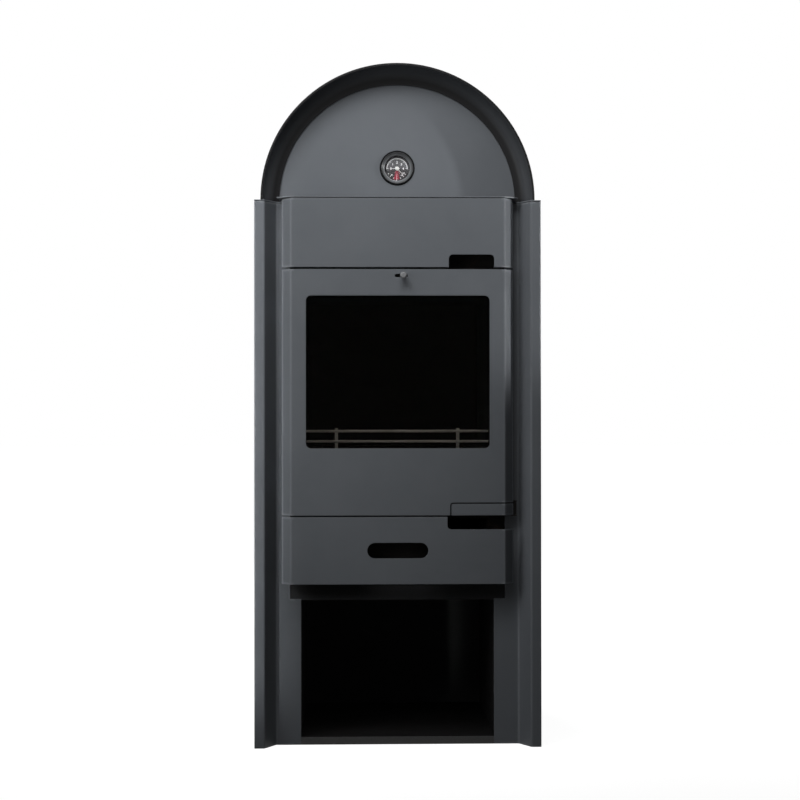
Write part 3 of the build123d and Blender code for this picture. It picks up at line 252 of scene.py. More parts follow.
def glassy(name, look):
    material, tree, shader = newTree(name)
    smear = noise(tree, look["smearScale"], *mixing["smear"], look.get("smearStretch", evenly))
    rough = remap(tree, smear, *mixing["smearSpan"], *look["roughness"])
    tree.links.new(rough, shader.inputs["Roughness"])
    tint = blendColour(tree, remap(tree, smear, *mixing["tintSpan"]), look["tone"], look["secondTone"])
    tree.links.new(tint, shader.inputs["Base Color"])
    shader.inputs["Transmission Weight"].default_value = 1
    shader.inputs["IOR"].default_value = look["ior"]
    relief(tree, shader, [(smear, look["waveDepth"])])
    return material


casingLook = {                                  # matt stove paint, sprayed and baked
    "tone": srgb(87, 90, 94), "secondTone": srgb(81, 84, 88), "cloudScale": 7,
    "speckTone": srgb(104, 107, 111), "speckAmount": 0.16, "grainScale": 1300, "grainDepth": 0.00006,
    "roughness": (0.3, 0.4), "specular": 0.1,
    # the lighter edges are partly edge wear and partly a painted highlight; the lighter upright folds are a
    # painted highlight
    "edgeRadius": 0.0012, "edgeTone": srgb(138, 142, 146), "edgeAmount": 0.2,
    "foldRadius": 0.006, "foldsWithin": (0.198, 0.266), "foldHighlightTone": srgb(142, 146, 151), "foldHighlightAmount": 0.45,
}
casingPaint = surface("casingPaint", casingLook)
archPaintAndShade = surface("archPaintAndShade", {              # darker on the arch, partly painted shade of the cove; its cut edges in front nearly black, painted shade
    **casingLook, "tone": srgb(68, 70, 73), "secondTone": srgb(62, 64, 67), "speckTone": srgb(82, 85, 88),
    "foldHighlightAmount": 0, "frontTone": srgb(22, 22, 23), "frontSpeck": srgb(30, 30, 31),
})
storeShadeLook = {                                   # the wood store's inside, dusty and near black as painted shade; grey on the faces that look to the front
    "tone": srgb(14, 14, 15), "secondTone": srgb(10, 10, 11), "cloudScale": 9,
    "speckTone": srgb(30, 26, 22), "speckAmount": 0.2, "grainScale": 900, "grainDepth": 0.00008,
    "spotTone": srgb(34, 28, 23), "spotScale": 30, "spotFrom": 0.62, "spotTo": 0.9,
    "frontTone": srgb(76, 76, 76), "frontSpeck": srgb(90, 90, 90),
    "roughness": (0.7, 0.9), "specular": 0.04,
    "edgeRadius": 0.0005, "edgeTone": srgb(60, 60, 60), "edgeAmount": 0.3,
}
storePaintedShade = surface("storePaintedShade", storeShadeLook)
lintelPaintedShadow = surface("lintelPaintedShadow", {          # the strip under the drawer, its front darker as a painted shadow of the drawer
    **storeShadeLook, "frontTone": srgb(47, 47, 48), "frontSpeck": srgb(56, 56, 57),
})
rearPaint = surface("rearPaint", {              # coarser coat on the rear panel
    "tone": srgb(62, 64, 67), "secondTone": srgb(56, 57, 60), "cloudScale": 5,
    "speckTone": srgb(84, 86, 88), "speckAmount": 0.22, "grainScale": 700, "grainDepth": 0.00012,
    "roughness": (0.6, 0.8), "specular": 0.25,
    "edgeRadius": 0.0005, "edgeTone": srgb(120, 121, 122), "edgeAmount": 0.6,
})
sootySteel = surface("sootySteel", {            # boiler plate under soot
    "tone": srgb(26, 25, 24), "secondTone": srgb(18, 17, 17), "cloudScale": 14,
    "speckTone": srgb(52, 46, 41), "speckAmount": 0.25, "grainScale": 500, "grainDepth": 0.0002,
    "spotTone": srgb(58, 43, 34), "spotScale": 22, "spotFrom": 0.6, "spotTo": 0.85,
    "roughness": (0.75, 0.95), "specular": 0.08,
    "edgeRadius": 0.0008, "edgeTone": srgb(72, 66, 60), "edgeAmount": 0.4,
})
bareSteel = surface("bareSteel", {              # turned and cut steel, lightly oiled
    "tone": srgb(176, 172, 166), "secondTone": srgb(150, 146, 141), "cloudScale": 40,
    "speckTone": srgb(110, 104, 98), "speckAmount": 0.25, "grainScale": 900, "grainDepth": 0.00005,
    "grainStretch": (1, 6, 1),
    "roughness": (0.28, 0.45), "metallic": 1,
    "edgeRadius": 0.0003, "edgeTone": srgb(215, 213, 210), "edgeAmount": 0.6,
})
darkSteelWithShade = surface("darkSteelWithShade", {        # dark steel of the shutter and the latch lever; the shutter's darkness is painted shade of its slot
    "tone": srgb(36, 35, 34), "secondTone": srgb(27, 26, 26), "cloudScale": 35,
    "speckTone": srgb(62, 56, 51), "speckAmount": 0.3, "grainScale": 700, "grainDepth": 0.0001,
    "roughness": (0.5, 0.7), "specular": 0.08,
    "edgeRadius": 0.0004, "edgeTone": srgb(88, 84, 80), "edgeAmount": 0.5,
})
knobGrey = surface("knobGrey", {                # satin knob of the air slider, its lighter edges a painted highlight
    "tone": srgb(108, 109, 111), "secondTone": srgb(98, 99, 101), "cloudScale": 90,
    "speckTone": srgb(136, 137, 138), "speckAmount": 0.2, "grainScale": 1700, "grainDepth": 0.00003,
    "roughness": (0.3, 0.42), "specular": 0.25,
    "edgeRadius": 0.0007, "edgeTone": srgb(170, 171, 172), "edgeAmount": 0.6,
})
guardSteel = surface("guardSteel", {            # log guard, greyed by ash
    "tone": srgb(188, 185, 182), "secondTone": srgb(162, 159, 155), "cloudScale": 30,
    "speckTone": srgb(206, 201, 196), "speckAmount": 0.35, "grainScale": 650, "grainDepth": 0.00015,
    "spotTone": srgb(128, 120, 113), "spotScale": 26, "spotFrom": 0.58, "spotTo": 0.85,
    "roughness": (0.55, 0.8), "specular": 0.3,
    "edgeRadius": 0.0004, "edgeTone": srgb(214, 211, 208), "edgeAmount": 0.5,
})
zincSteel = surface("zincSteel", {              # bright zinc plating
    "tone": srgb(182, 184, 188), "secondTone": srgb(162, 166, 172), "cloudScale": 60,
    "speckTone": srgb(205, 206, 208), "speckAmount": 0.3, "grainScale": 420, "grainDepth": 0.00004,
    "roughness": (0.25, 0.42), "metallic": 1,
    "edgeRadius": 0.0003, "edgeTone": srgb(225, 226, 228), "edgeAmount": 0.6,
})
castIron = surface("castIron", {                # sand-cast door frame, black stove paint over the grain
    "tone": srgb(45, 45, 46), "secondTone": srgb(34, 34, 35), "cloudScale": 18,
    "speckTone": srgb(70, 68, 66), "speckAmount": 0.3, "grainScale": 380, "grainDepth": 0.00035,
    "roughness": (0.6, 0.85), "specular": 0.2, "cloudDepth": 0.0004,
    "edgeRadius": 0.0012, "edgeTone": srgb(92, 89, 86), "edgeAmount": 0.55,
})
grateIron = surface("grateIron", {              # rough iron with ash in its pores
    "tone": srgb(60, 55, 52), "secondTone": srgb(46, 42, 40), "cloudScale": 22,
    "speckTone": srgb(128, 122, 115), "speckAmount": 0.4, "grainScale": 300, "grainDepth": 0.0005,
    "spotTone": srgb(92, 62, 46), "spotScale": 35, "spotFrom": 0.55, "spotTo": 0.8,
    "roughness": (0.75, 0.95), "specular": 0.15, "cloudDepth": 0.0005,
    "edgeRadius": 0.0015, "edgeTone": srgb(110, 100, 92), "edgeAmount": 0.5,
})
fireClay = surface("fireClay", {                # pressed bricks, blackened by smoke
    "tone": srgb(72, 65, 56), "secondTone": srgb(54, 48, 42), "cloudScale": 12,
    "speckTone": srgb(104, 96, 84), "speckAmount": 0.4, "grainScale": 260, "grainDepth": 0.0006,
    "spotTone": srgb(24, 22, 20), "spotScale": 9, "spotFrom": 0.4, "spotTo": 0.65,
    "roughness": (0.85, 1.0), "specular": 0.1, "cloudDepth": 0.0008,
    "edgeRadius": 0.0025, "edgeTone": srgb(128, 116, 100), "edgeAmount": 0.5,
})
mineralWool = surface("mineralWool", {          # felted fibres
    "tone": srgb(150, 138, 104), "secondTone": srgb(128, 118, 90), "cloudScale": 30,
    "speckTone": srgb(186, 176, 142), "speckAmount": 0.6, "grainScale": 240, "grainDepth": 0.0012,
    "grainStretch": (1, 1, 5), "cloudDepth": 0.002,
    "roughness": (0.9, 1.0), "specular": 0.1,
})
glassRope = surface("glassRope", {              # braided glass fibre, greyed by heat
    "tone": srgb(92, 90, 86), "secondTone": srgb(66, 64, 61), "cloudScale": 30,
    "speckTone": srgb(140, 138, 132), "speckAmount": 0.4, "grainScale": 1500, "grainDepth": 0.0002,
    "spotTone": srgb(38, 35, 33), "spotScale": 16, "spotFrom": 0.5, "spotTo": 0.8,
    "roughness": (0.8, 0.98), "specular": 0.15,
})
copperPipe = surface("copperPipe", {            # drawn copper with a brown bloom
    "tone": srgb(196, 124, 90), "secondTone": srgb(160, 94, 66), "cloudScale": 26,
    "speckTone": srgb(110, 66, 48), "speckAmount": 0.3, "grainScale": 600, "grainDepth": 0.00005,
    "roughness": (0.25, 0.5), "metallic": 1,
})
knobBlack = surface("knobBlack", {              # black lacquered steel knob
    "tone": srgb(34, 34, 36), "secondTone": srgb(28, 28, 30), "cloudScale": 60,
    "speckTone": srgb(58, 58, 60), "speckAmount": 0.15, "grainScale": 1600, "grainDepth": 0.00003,
    "roughness": (0.3, 0.45), "specular": 0.5,
    "edgeRadius": 0.0003, "edgeTone": srgb(120, 120, 122), "edgeAmount": 0.5,
})
magnetBlack = surface("magnetBlack", {          # moulded housing of the magnetic catch
    "tone": srgb(30, 30, 31), "secondTone": srgb(24, 24, 25), "cloudScale": 50,
    "speckTone": srgb(52, 52, 54), "speckAmount": 0.2, "grainScale": 1100, "grainDepth": 0.00008,
    "roughness": (0.45, 0.6), "specular": 0.4,
    "edgeRadius": 0.0004, "edgeTone": srgb(70, 70, 72), "edgeAmount": 0.4,
})
gaugeBlack = surface("gaugeBlack", {            # enamelled gauge case
    "tone": srgb(20, 20, 21), "secondTone": srgb(16, 16, 17), "cloudScale": 80,
    "speckTone": srgb(40, 40, 42), "speckAmount": 0.15, "grainScale": 1800, "grainDepth": 0.00003,
    "roughness": (0.3, 0.45), "specular": 0.06,
    "edgeRadius": 0.0003, "edgeTone": srgb(60, 60, 62), "edgeAmount": 0.5,
})
bezelGrey = surface("bezelGrey", {              # satin grey ring round the dial, with a painted highlight on its edges and painted shade darkening its outside
    "tone": srgb(88, 90, 92), "secondTone": srgb(76, 78, 80), "cloudScale": 70,
    "speckTone": srgb(104, 106, 108), "speckAmount": 0.2, "grainScale": 1800, "grainDepth": 0.00003,
    "ringShadeTone": srgb(18, 18, 19), "ringCentre": (0, 0, 1.116), "ringFromTo": (0.0262, 0.0312),
    "roughness": (0.3, 0.42), "specular": 0.12,
    "edgeRadius": 0.001, "edgeTone": srgb(190, 192, 194), "edgeAmount": 1,
})
dialGrey = surface("dialGrey", {                # dial plate, dark grey all over
    "tone": srgb(58, 57, 60), "secondTone": srgb(52, 51, 54), "cloudScale": 90,
    "speckTone": srgb(74, 73, 75), "speckAmount": 0.15, "grainScale": 2400, "grainDepth": 0.00002,
    "roughness": (0.5, 0.65), "specular": 0.2,
})
dialPale = surface("dialPale", {                # lighter grey print under the pressure scale
    "tone": srgb(82, 82, 84), "secondTone": srgb(76, 76, 78), "cloudScale": 90,
    "speckTone": srgb(98, 98, 100), "speckAmount": 0.15, "grainScale": 2400, "grainDepth": 0.00001,
    "roughness": (0.5, 0.65), "specular": 0.2,
})
dialWhite = surface("dialWhite", {              # white print
    "tone": srgb(236, 236, 236), "secondTone": srgb(224, 224, 225), "cloudScale": 120,
    "speckTone": srgb(196, 196, 197), "speckAmount": 0.2, "grainScale": 2600, "grainDepth": 0.00001,
    "roughness": (0.5, 0.65), "specular": 0.3,
})
dialRed = surface("dialRed", {                  # red print
    "tone": srgb(138, 22, 48), "secondTone": srgb(122, 16, 40), "cloudScale": 120,
    "speckTone": srgb(186, 92, 108), "speckAmount": 0.2, "grainScale": 2600, "grainDepth": 0.00001,
    "roughness": (0.5, 0.65), "specular": 0.3,
})
dialPink = surface("dialPink", {                # faded red of the two side lines
    "tone": srgb(186, 112, 116), "secondTone": srgb(172, 98, 102), "cloudScale": 120,
    "speckTone": srgb(206, 150, 152), "speckAmount": 0.2, "grainScale": 2600, "grainDepth": 0.00001,
    "roughness": (0.5, 0.65), "specular": 0.3,
})
needleWhite = surface("needleWhite", {          # lacquered pointers
    "tone": srgb(226, 225, 222), "secondTone": srgb(212, 211, 208), "cloudScale": 150,
    "speckTone": srgb(180, 179, 177), "speckAmount": 0.2, "grainScale": 2600, "grainDepth": 0.00001,
    "roughness": (0.35, 0.5), "specular": 0.4,
})
stoveGlass = glassy("stoveGlass", {             # glass ceramic, a little smoky
    "tone": srgb(164, 162, 160), "secondTone": srgb(144, 141, 138), "smearScale": 9,
    "smearStretch": (1, 1, 2.2), "roughness": (0.0, 0.05), "ior": 1.06, "waveDepth": 0.00002,
})
gaugeGlass = glassy("gaugeGlass", {             # flat watch glass
    "tone": srgb(250, 250, 250), "secondTone": srgb(240, 241, 242), "smearScale": 40,
    "roughness": (0.0, 0.04), "ior": 1.12, "waveDepth": 0.00001,
})
print("finishes made")

finishOf = {
    "casing_paint": casingPaint, "rear_paint": rearPaint, "boiler_steel": sootySteel,
    "bare_steel": bareSteel, "zinc_steel": zincSteel, "cast_iron": castIron, "grate_iron": grateIron,
    "fire_clay": fireClay, "mineral_wool": mineralWool, "rope": glassRope, "stove_glass": stoveGlass,
    "gauge_glass": gaugeGlass, "gauge_black": gaugeBlack, "bezel": bezelGrey, "dial": dialGrey,
    "needle_white": needleWhite, "copper": copperPipe, "knob_black": knobBlack,
    "magnet_black": magnetBlack,
}
ownFinish = {
    "store_walls": storePaintedShade, "store_ceiling": lintelPaintedShadow, "store_floor": storePaintedShade,
    "arch_shell": archPaintAndShade, "arch_cove": archPaintAndShade,
    "log_guard": guardSteel, "air_shutter": darkSteelWithShade, "slider_knob": knobGrey,
    "handle_lever": darkSteelWithShade, "handle_pin": darkSteelWithShade, "latch_keeper": darkSteelWithShade,
}
for name, node in nodes.items():
    for index, slot in enumerate(node.material_slots):
        slotName = slot.material.name.split(".")[0]
        node.material_slots[index].material = ownFinish.get(name, finishOf[slotName])
print("CAD nodes finished")


# a piece from a bmesh, shaded smooth below an angle in degrees, which rides on a body
def meshPiece(name, body, material, shape, smooth):
    data = bpy.data.meshes.new(name)
    bmesh.ops.recalc_face_normals(shape, faces=shape.faces)
    shape.to_mesh(data)
    shape.free()
    data.materials.append(material)
    piece = bpy.data.objects.new(name, data)
    bpy.context.scene.collection.objects.link(piece)
    if smooth:
        data.shade_smooth()
        data.set_sharp_from_angle(angle=math.radians(smooth))
    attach(piece, body)
    return piece


# a closed body turned round an axis, from pairs of a radius and a distance along the axis
def turned(shape, centre, axis, profile, steps):
    across = axis.orthogonal().normalized()
    other = axis.cross(across)
    rings = []
    for radius, along in profile:
        middle = centre + axis * along
        if radius == 0:
            rings.append([shape.verts.new(middle)])
            continue
        ring = []
        for step in range(steps):
            angle = 2 * math.pi * step / steps
            outward = across * math.cos(angle) + other * math.sin(angle)
            ring.append(shape.verts.new(middle + outward * radius))
        rings.append(ring)
    for first, second in zip(rings, rings[1:]):
        for step in range(steps):
            after = (step + 1) % steps
            corners = [first[step % len(first)], first[after % len(first)],
                       second[after % len(second)], second[step % len(second)]]
            unique = list(dict.fromkeys(corners))
            if len(unique) > 2:
                shape.faces.new(unique)


# skins a closed chain of rings
def skinLoop(shape, rings):
    for index, ring in enumerate(rings):
        after = rings[(index + 1) % len(rings)]
        for part in range(len(ring)):
            beside = (part + 1) % len(ring)
            shape.faces.new((ring[part], after[part], after[beside], ring[beside]))


# skins a row of rings and closes both its ends
def skinRow(shape, rings):
    shape.faces.new(rings[0])
    for ring, after in zip(rings, rings[1:]):
        for part in range(len(ring)):
            beside = (part + 1) % len(ring)
            shape.faces.new((ring[part], after[part], after[beside], ring[beside]))
    shape.faces.new(list(reversed(rings[-1])))


# points of a rounded rectangle in X and Z, with the outward direction at each
def ringPath(half, bottom, top, corner, step):
    points = []
    corners = ((half - corner, top - corner, 0), (-half + corner, top - corner, 90),
               (-half + corner, bottom + corner, 180), (half - corner, bottom + corner, 270))
    for index, (x, z, start) in enumerate(corners):
        turns = max(3, round(corner * math.pi / 2 / step))
        for count in range(turns + 1):
            angle = math.radians(start + 90 * count / turns)
            out = Vector((math.cos(angle), 0, math.sin(angle)))
            points.append((Vector((x, 0, z)) + out * corner, out))
        nextX, nextZ, nextStart = corners[(index + 1) % 4]
        startPoint = points[-1][0]
        angle = math.radians(nextStart)
        out = Vector((math.cos(angle), 0, math.sin(angle)))
        endPoint = Vector((nextX, 0, nextZ)) + out * corner
        length = (endPoint - startPoint).length
        count = max(1, round(length / step))
        for part in range(1, count):
            points.append((startPoint.lerp(endPoint, part / count), out))
    return points


# a braided seal laid round a rounded rectangle, in the place of its CAD node
def braidedRing(name, body, node, look, material):
    low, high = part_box(node)
    width, depth = look["width"], high.y - low.y
    half = high.x - width / 2
    path = ringPath(half, low.z + width / 2, high.z - width / 2, look["corner"], look["step"])
    travelled = 0
    shape = bmesh.new()
    rings = []
    for index, (point, out) in enumerate(path):
        travelled += (point - path[index - 1][0]).length if index else 0
        ring = []
        for part in range(look["around"]):
            angle = 2 * math.pi * part / look["around"]
            c, s = math.cos(angle), math.sin(angle)
            across = math.copysign(abs(c) ** look["square"], c) * width / 2
            along = math.copysign(abs(s) ** look["square"], s) * depth / 2
            phase = look["strands"] * angle
            twist = 2 * math.pi * travelled / look["lay"]
            over = abs(math.sin((phase + twist) / 2)) * abs(math.sin((phase - twist) / 2))
            shrink = 1 - look["groove"] * (1 - over ** 0.5) / (width / 2)
            middle = point + Vector((0, (low.y + high.y) / 2, 0))
            ring.append(shape.verts.new(middle + out * across * shrink + Vector((0, along * shrink, 0))))
        rings.append(ring)
    skinLoop(shape, rings)
    piece = meshPiece(name, body, material, shape, smooth=60)
    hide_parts(node)


# square runs from 1, a round section, towards 0, a square one; lay is the length of a strand's turn
ropeLook = {"width": 0.012, "corner": 0.014, "step": 0.0012, "around": 40, "square": 0.72,
            "strands": 8, "lay": 0.022, "groove": 0.0009}
braidedRing("doorRopeBraid", "fire_door", "door_rope", ropeLook, glassRope)
sealLook = {"width": 0.012, "corner": 0.02, "step": 0.0014, "around": 32, "square": 0.45,
            "strands": 8, "lay": 0.02, "groove": 0.0006}
braidedRing("sweepSealBraid", "stove_body", "sweep_cover_seal", sealLook, glassRope)


# two thin woven tapes, one on each side of the door glass
def gasketTapes(look):
    low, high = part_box("glass_gaskets")
    half = look["width"] / 2
    path = ringPath(high.x - half, low.z + half, high.z - half, look["corner"], look["step"])
    shape = bmesh.new()
    for front in (low.y, high.y - look["thickness"]):
        rings = []
        for index, (point, out) in enumerate(path):
            rib = look["rib"] * (index % 2)
            halfWidth, halfDepth = half - rib, look["thickness"] / 2 - rib / 2
            middle = point + Vector((0, front + look["thickness"] / 2, 0))
            rings.append([shape.verts.new(middle + out * a * halfWidth + Vector((0, b * halfDepth, 0)))
                          for a, b in look["section"]])
        skinLoop(shape, rings)
    piece = meshPiece("glassTapes", "fire_door", glassRope, shape, smooth=50)
    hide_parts("glass_gaskets")


tapeLook = {
    "width": 0.005, "thickness": 0.002, "corner": 0.005, "step": 0.002, "rib": 0.00015,
    "section": ((-1, -0.5), (-0.8, -1), (0.8, -1), (1, -0.5), (1, 0.5), (0.8, 1), (-0.8, 1), (-1, 0.5)),
}
gasketTapes(tapeLook)
print("seals braided")

woolLook = {"voxel": 0.007, "lumps": 0.05, "lumpDepth": 0.003}     # mineral wool round the boiler
woolMesh = nodes["insulation_mats"].data.copy()
woolMesh.materials.clear()
woolMesh.materials.append(mineralWool)
woolMats = bpy.data.objects.new("woolMats", woolMesh)
bpy.context.scene.collection.objects.link(woolMats)
remesh = woolMats.modifiers.new("felted", "REMESH")
remesh.mode = "VOXEL"
remesh.voxel_size = woolLook["voxel"]
remesh.use_smooth_shade = True
lumps = bpy.data.textures.new("woolLumps", "CLOUDS")
lumps.noise_scale = woolLook["lumps"]
swell = woolMats.modifiers.new("lumps", "DISPLACE")
swell.texture = lumps
swell.strength = woolLook["lumpDepth"]
swell.mid_level = 1          # only inwards, so the mats stay inside their CAD solids
swell.texture_coords = "LOCAL"
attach(woolMats, "stove_body")
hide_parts("insulation_mats")
print("wool mats felted")

screwLook = {                                   # rear panel screws with a cross recess
    "headRadius": 0.004, "headHeight": 0.002, "headSteps": 40,
    "head": ((0, 0), (0.96, 0), (1, 0.12), (1, 0.45), (0.94, 0.72), (0.75, 0.92), (0.4, 1), (0, 1)),
    "recess": 0.0044, "recessWidth": 0.0009, "recessDepth": 0.0013, "recessTurns": (20, 110),
    "shankRadius": 0.002, "shankSteps": 20, "pitch": 0.0012, "crest": 0.0001, "root": 0.82,
    "rows": 5, "rowTurn": 37, "sideTurn": 23,   # each screw is left at another angle, in degrees
}


# the head of one pan head screw along +Y, its seat at the origin
def screwShape(look):
    height = look["headHeight"]
    head = bmesh.new()
    headProfile = [(look["headRadius"] * a, height * b) for a, b in look["head"]]
    turned(head, Vector(), Vector((0, 1, 0)), headProfile, look["headSteps"])
    bmesh.ops.recalc_face_normals(head, faces=head.faces)
    headMesh = bpy.data.meshes.new("screwHead")
    head.to_mesh(headMesh)
    head.free()
    headPiece = bpy.data.objects.new("screwHeadMould", headMesh)
    cutter = bmesh.new()
    barSize = (look["recess"], 2 * look["recessDepth"], look["recessWidth"])
    for degrees in look["recessTurns"]:
        bar = bmesh.ops.create_cube(cutter, size=1)["verts"]
        bmesh.ops.scale(cutter, vec=barSize, verts=bar)
        bmesh.ops.rotate(cutter, matrix=Matrix.Rotation(math.radians(degrees), 3, "Y"), verts=bar)
        bmesh.ops.translate(cutter, vec=(0, height, 0), verts=bar)
    cutMesh = bpy.data.meshes.new("screwCutter")
    cutter.to_mesh(cutMesh)
    cutter.free()
    cutPiece = bpy.data.objects.new("screwCutter", cutMesh)
    for piece in (headPiece, cutPiece):
        bpy.context.scene.collection.objects.link(piece)
    cut = headPiece.modifiers.new("recess", "BOOLEAN")
    cut.operation = "DIFFERENCE"
    cut.solver = "EXACT"
    cut.use_self = True
    cut.object = cutPiece
    bpy.context.view_layer.update()
    ready = headPiece.evaluated_get(bpy.context.evaluated_depsgraph_get())
    shape = bmesh.new()
    shape.from_mesh(ready.to_mesh())
    ready.to_mesh_clear()
    for piece in (headPiece, cutPiece):
        bpy.data.objects.remove(piece)
    return shape


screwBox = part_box("rear_panel_screws")
screwHead = screwShape(screwLook)
headMesh = bpy.data.meshes.new("screwHeadReady")
screwHead.to_mesh(headMesh)
screwHead.free()
seatY = screwBox[1].y - screwLook["headHeight"]
screwX = screwBox[1].x - screwLook["headRadius"]
lowest, highest = screwBox[0].z + screwLook["headRadius"], screwBox[1].z - screwLook["headRadius"]
rows, pitch = screwLook["rows"], screwLook["pitch"]
shank, crest = screwLook["shankRadius"], screwLook["crest"]
shankLength = seatY - screwBox[0].y
shankProfile = [(0, 0)]
along = 0.0
while along < shankLength - pitch:
    shankProfile += [(shank, along + crest), (shank * screwLook["root"], along + pitch / 2)]
    along += pitch
shankProfile += [(shank, shankLength - crest), (0, shankLength)]
screws = bmesh.new()
for row in range(rows):
    for side in (-1, 1):
        seat = Vector((side * screwX, seatY, lowest + (highest - lowest) * row / (rows - 1)))
        turnBy = math.radians(screwLook["rowTurn"] * row + screwLook["sideTurn"] * side)
        copy = bmesh.new()
        copy.from_mesh(headMesh)
        bmesh.ops.rotate(copy, matrix=Matrix.Rotation(turnBy, 3, "Y"), verts=copy.verts)
        bmesh.ops.translate(copy, vec=seat, verts=copy.verts)
        placed = bpy.data.meshes.new("screwPlaced")
        copy.to_mesh(placed)
        copy.free()
        screws.from_mesh(placed)
        bpy.data.meshes.remove(placed)
        turned(screws, seat, Vector((0, -1, 0)), shankProfile, screwLook["shankSteps"])
bpy.data.meshes.remove(headMesh)
panHeads = meshPiece("rearPanelPanHeads", "stove_body", zincSteel, screws, smooth=30)
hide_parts("rear_panel_screws")
print("rear screws made")

threadLook = {                                  # pipe threads inside the sockets
    "sockets": ("flow_socket", "return_socket", "probe_socket", "drain_socket",
                "coil_inlet", "coil_outlet"),
    "length": 0.019, "start": 0.0016, "steps": 40,
    "largePitch": 0.002309, "smallPitch": 0.001814, "largeFrom": 0.012,     # largeFrom is a bore's radius
    "height": 0.0007, "leastHeight": 0.00005, "bite": 0.00002, "foot": 0.42, "crest": 0.06,
}


# a ridge that winds along a socket's bore, from its rear end forwards
def threadRidge(shape, centre, radius, pitch, look):
    steps = look["steps"]
    total = int(look["length"] / pitch) * steps
    foot, crest, wall = pitch * look["foot"], pitch * look["crest"], radius + look["bite"]
    rings = []
    for count in range(total + 1):
        angle = 2 * math.pi * count / steps
        along = -pitch * count / steps
        fade = min(1, count / steps, (total - count) / steps)
        out = Vector((math.cos(angle), 0, math.sin(angle)))
        reach = radius - max(look["leastHeight"], look["height"] * fade)
        section = ((wall, along - foot), (reach, along - crest),
                   (reach, along + crest), (wall, along + foot))
        rings.append([shape.verts.new(centre + out * far + Vector((0, y, 0))) for far, y in section])
    skinRow(shape, rings)


mounts = {mount["name"]: mount for mount in frame["record"]["mounts"]}
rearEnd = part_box("one_inch_sockets")[1].y
threads = bmesh.new()
for mountName in threadLook["sockets"]:
    mount = mounts[mountName]
    boreRadius = mount["dims"]["r_mm"] / 1000
    pitch = threadLook["largePitch" if boreRadius > threadLook["largeFrom"] else "smallPitch"]
    place = Vector((mount["pos_m"][0], rearEnd - threadLook["start"], mount["pos_m"][2]))
    threadRidge(threads, place, boreRadius, pitch, threadLook)
meshPiece("socketThreads", "stove_body", bareSteel, threads, smooth=40)
print("socket threads cut")

knobLook = {                                    # knobs of the cleaning cover
    "radius": 0.011, "lobes": 8, "lobeDepth": 0.0014, "stepsPerLobe": 12,
    "lobeGain": 3, "lobeFrom": 1.4,             # the lobes fade out towards the middle of the face
    "levels": ((0.0, 0.30), (0.0, 0.62), (0.06, 0.80), (0.16, 0.92), (0.32, 0.99), (0.5, 1.0),
               (0.84, 1.0), (0.95, 0.97), (1.0, 0.90), (1.0, 0.0)),     # shares of the depth and the radius
    "studRadius": 0.004, "studEdge": 0.0001, "studSteps": 32,
}


# a lobed knob that faces the front, its back at backY
def lobedKnob(shape, centre, frontY, backY, look):
    steps = look["lobes"] * look["stepsPerLobe"]
    height = backY - frontY
    rings = []
    for depth, share in look["levels"]:
        y = frontY + height * depth
        if share == 0:
            rings.append([shape.verts.new((centre.x, y, centre.z))])
            continue
        fade = min(1, max(0, share * look["lobeGain"] - look["lobeFrom"]))
        ring = []
        for step in range(steps):
            angle = 2 * math.pi * step / steps
            lobe = look["lobeDepth"] * (0.5 - 0.5 * math.cos(look["lobes"] * angle)) * fade
            reach = (look["radius"] - lobe) * share
            x, z = centre.x + reach * math.cos(angle), centre.z + reach * math.sin(angle)
            ring.append(shape.verts.new((x, y, z)))
        rings.append(ring)
    shape.faces.new(list(reversed(rings[0])))
    for first, second in zip(rings, rings[1:]):
        for step in range(steps):
            after = (step + 1) % steps
            corners = list(dict.fromkeys((first[step], first[after], second[after % len(second)],
                                          second[step % len(second)])))
            shape.faces.new(corners)


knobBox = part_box("sweep_cover_knobs")
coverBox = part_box("sweep_cover")
knobs = bmesh.new()
knobZ = (knobBox[0].z + knobBox[1].z) / 2
stud, studLength = knobLook["studRadius"], knobBox[1].y - coverBox[0].y
studProfile = [(0, 0), (stud, knobLook["studEdge"]), (stud, studLength), (0, studLength)]
for x in (knobBox[0].x + knobLook["radius"], knobBox[1].x - knobLook["radius"]):
    lobedKnob(knobs, Vector((x, 0, knobZ)), knobBox[0].y, coverBox[0].y, knobLook)
    studFoot = Vector((x, coverBox[0].y, knobZ))
    turned(knobs, studFoot, Vector((0, 1, 0)), studProfile, knobLook["studSteps"])
coverKnobs = meshPiece("coverKnobs", "stove_body", knobBlack, knobs, smooth=32)
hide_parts("sweep_cover_knobs")
print("cover knobs turned")

catchLook = {                                   # magnetic catch behind the hatch
    "round": 0.0012, "poleWidth": 0.0022, "poleDepth": 0.006, "poleShort": 0.006,
    "poleProud": 0.0003, "poleInset": 0.0028, "poleRound": 0.0002,
}
low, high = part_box("hatch_magnet")
housing = bmesh.new()
block = bmesh.ops.create_cube(housing, size=1)["verts"]
size = high - low
size.y -= catchLook["poleProud"]
bmesh.ops.scale(housing, vec=size, verts=block)
bmesh.ops.translate(housing, vec=(low + high) / 2 + Vector((0, catchLook["poleProud"] / 2, 0)), verts=block)
bmesh.ops.bevel(housing, geom=housing.edges[:], offset=catchLook["round"], segments=3, profile=0.6,
                affect="EDGES")
magnetHousing = meshPiece("magnetHousing", "stove_body", magnetBlack, housing, smooth=40)
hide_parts("hatch_magnet")
poles = bmesh.new()
poleWidth, poleDepth = catchLook["poleWidth"], catchLook["poleDepth"]
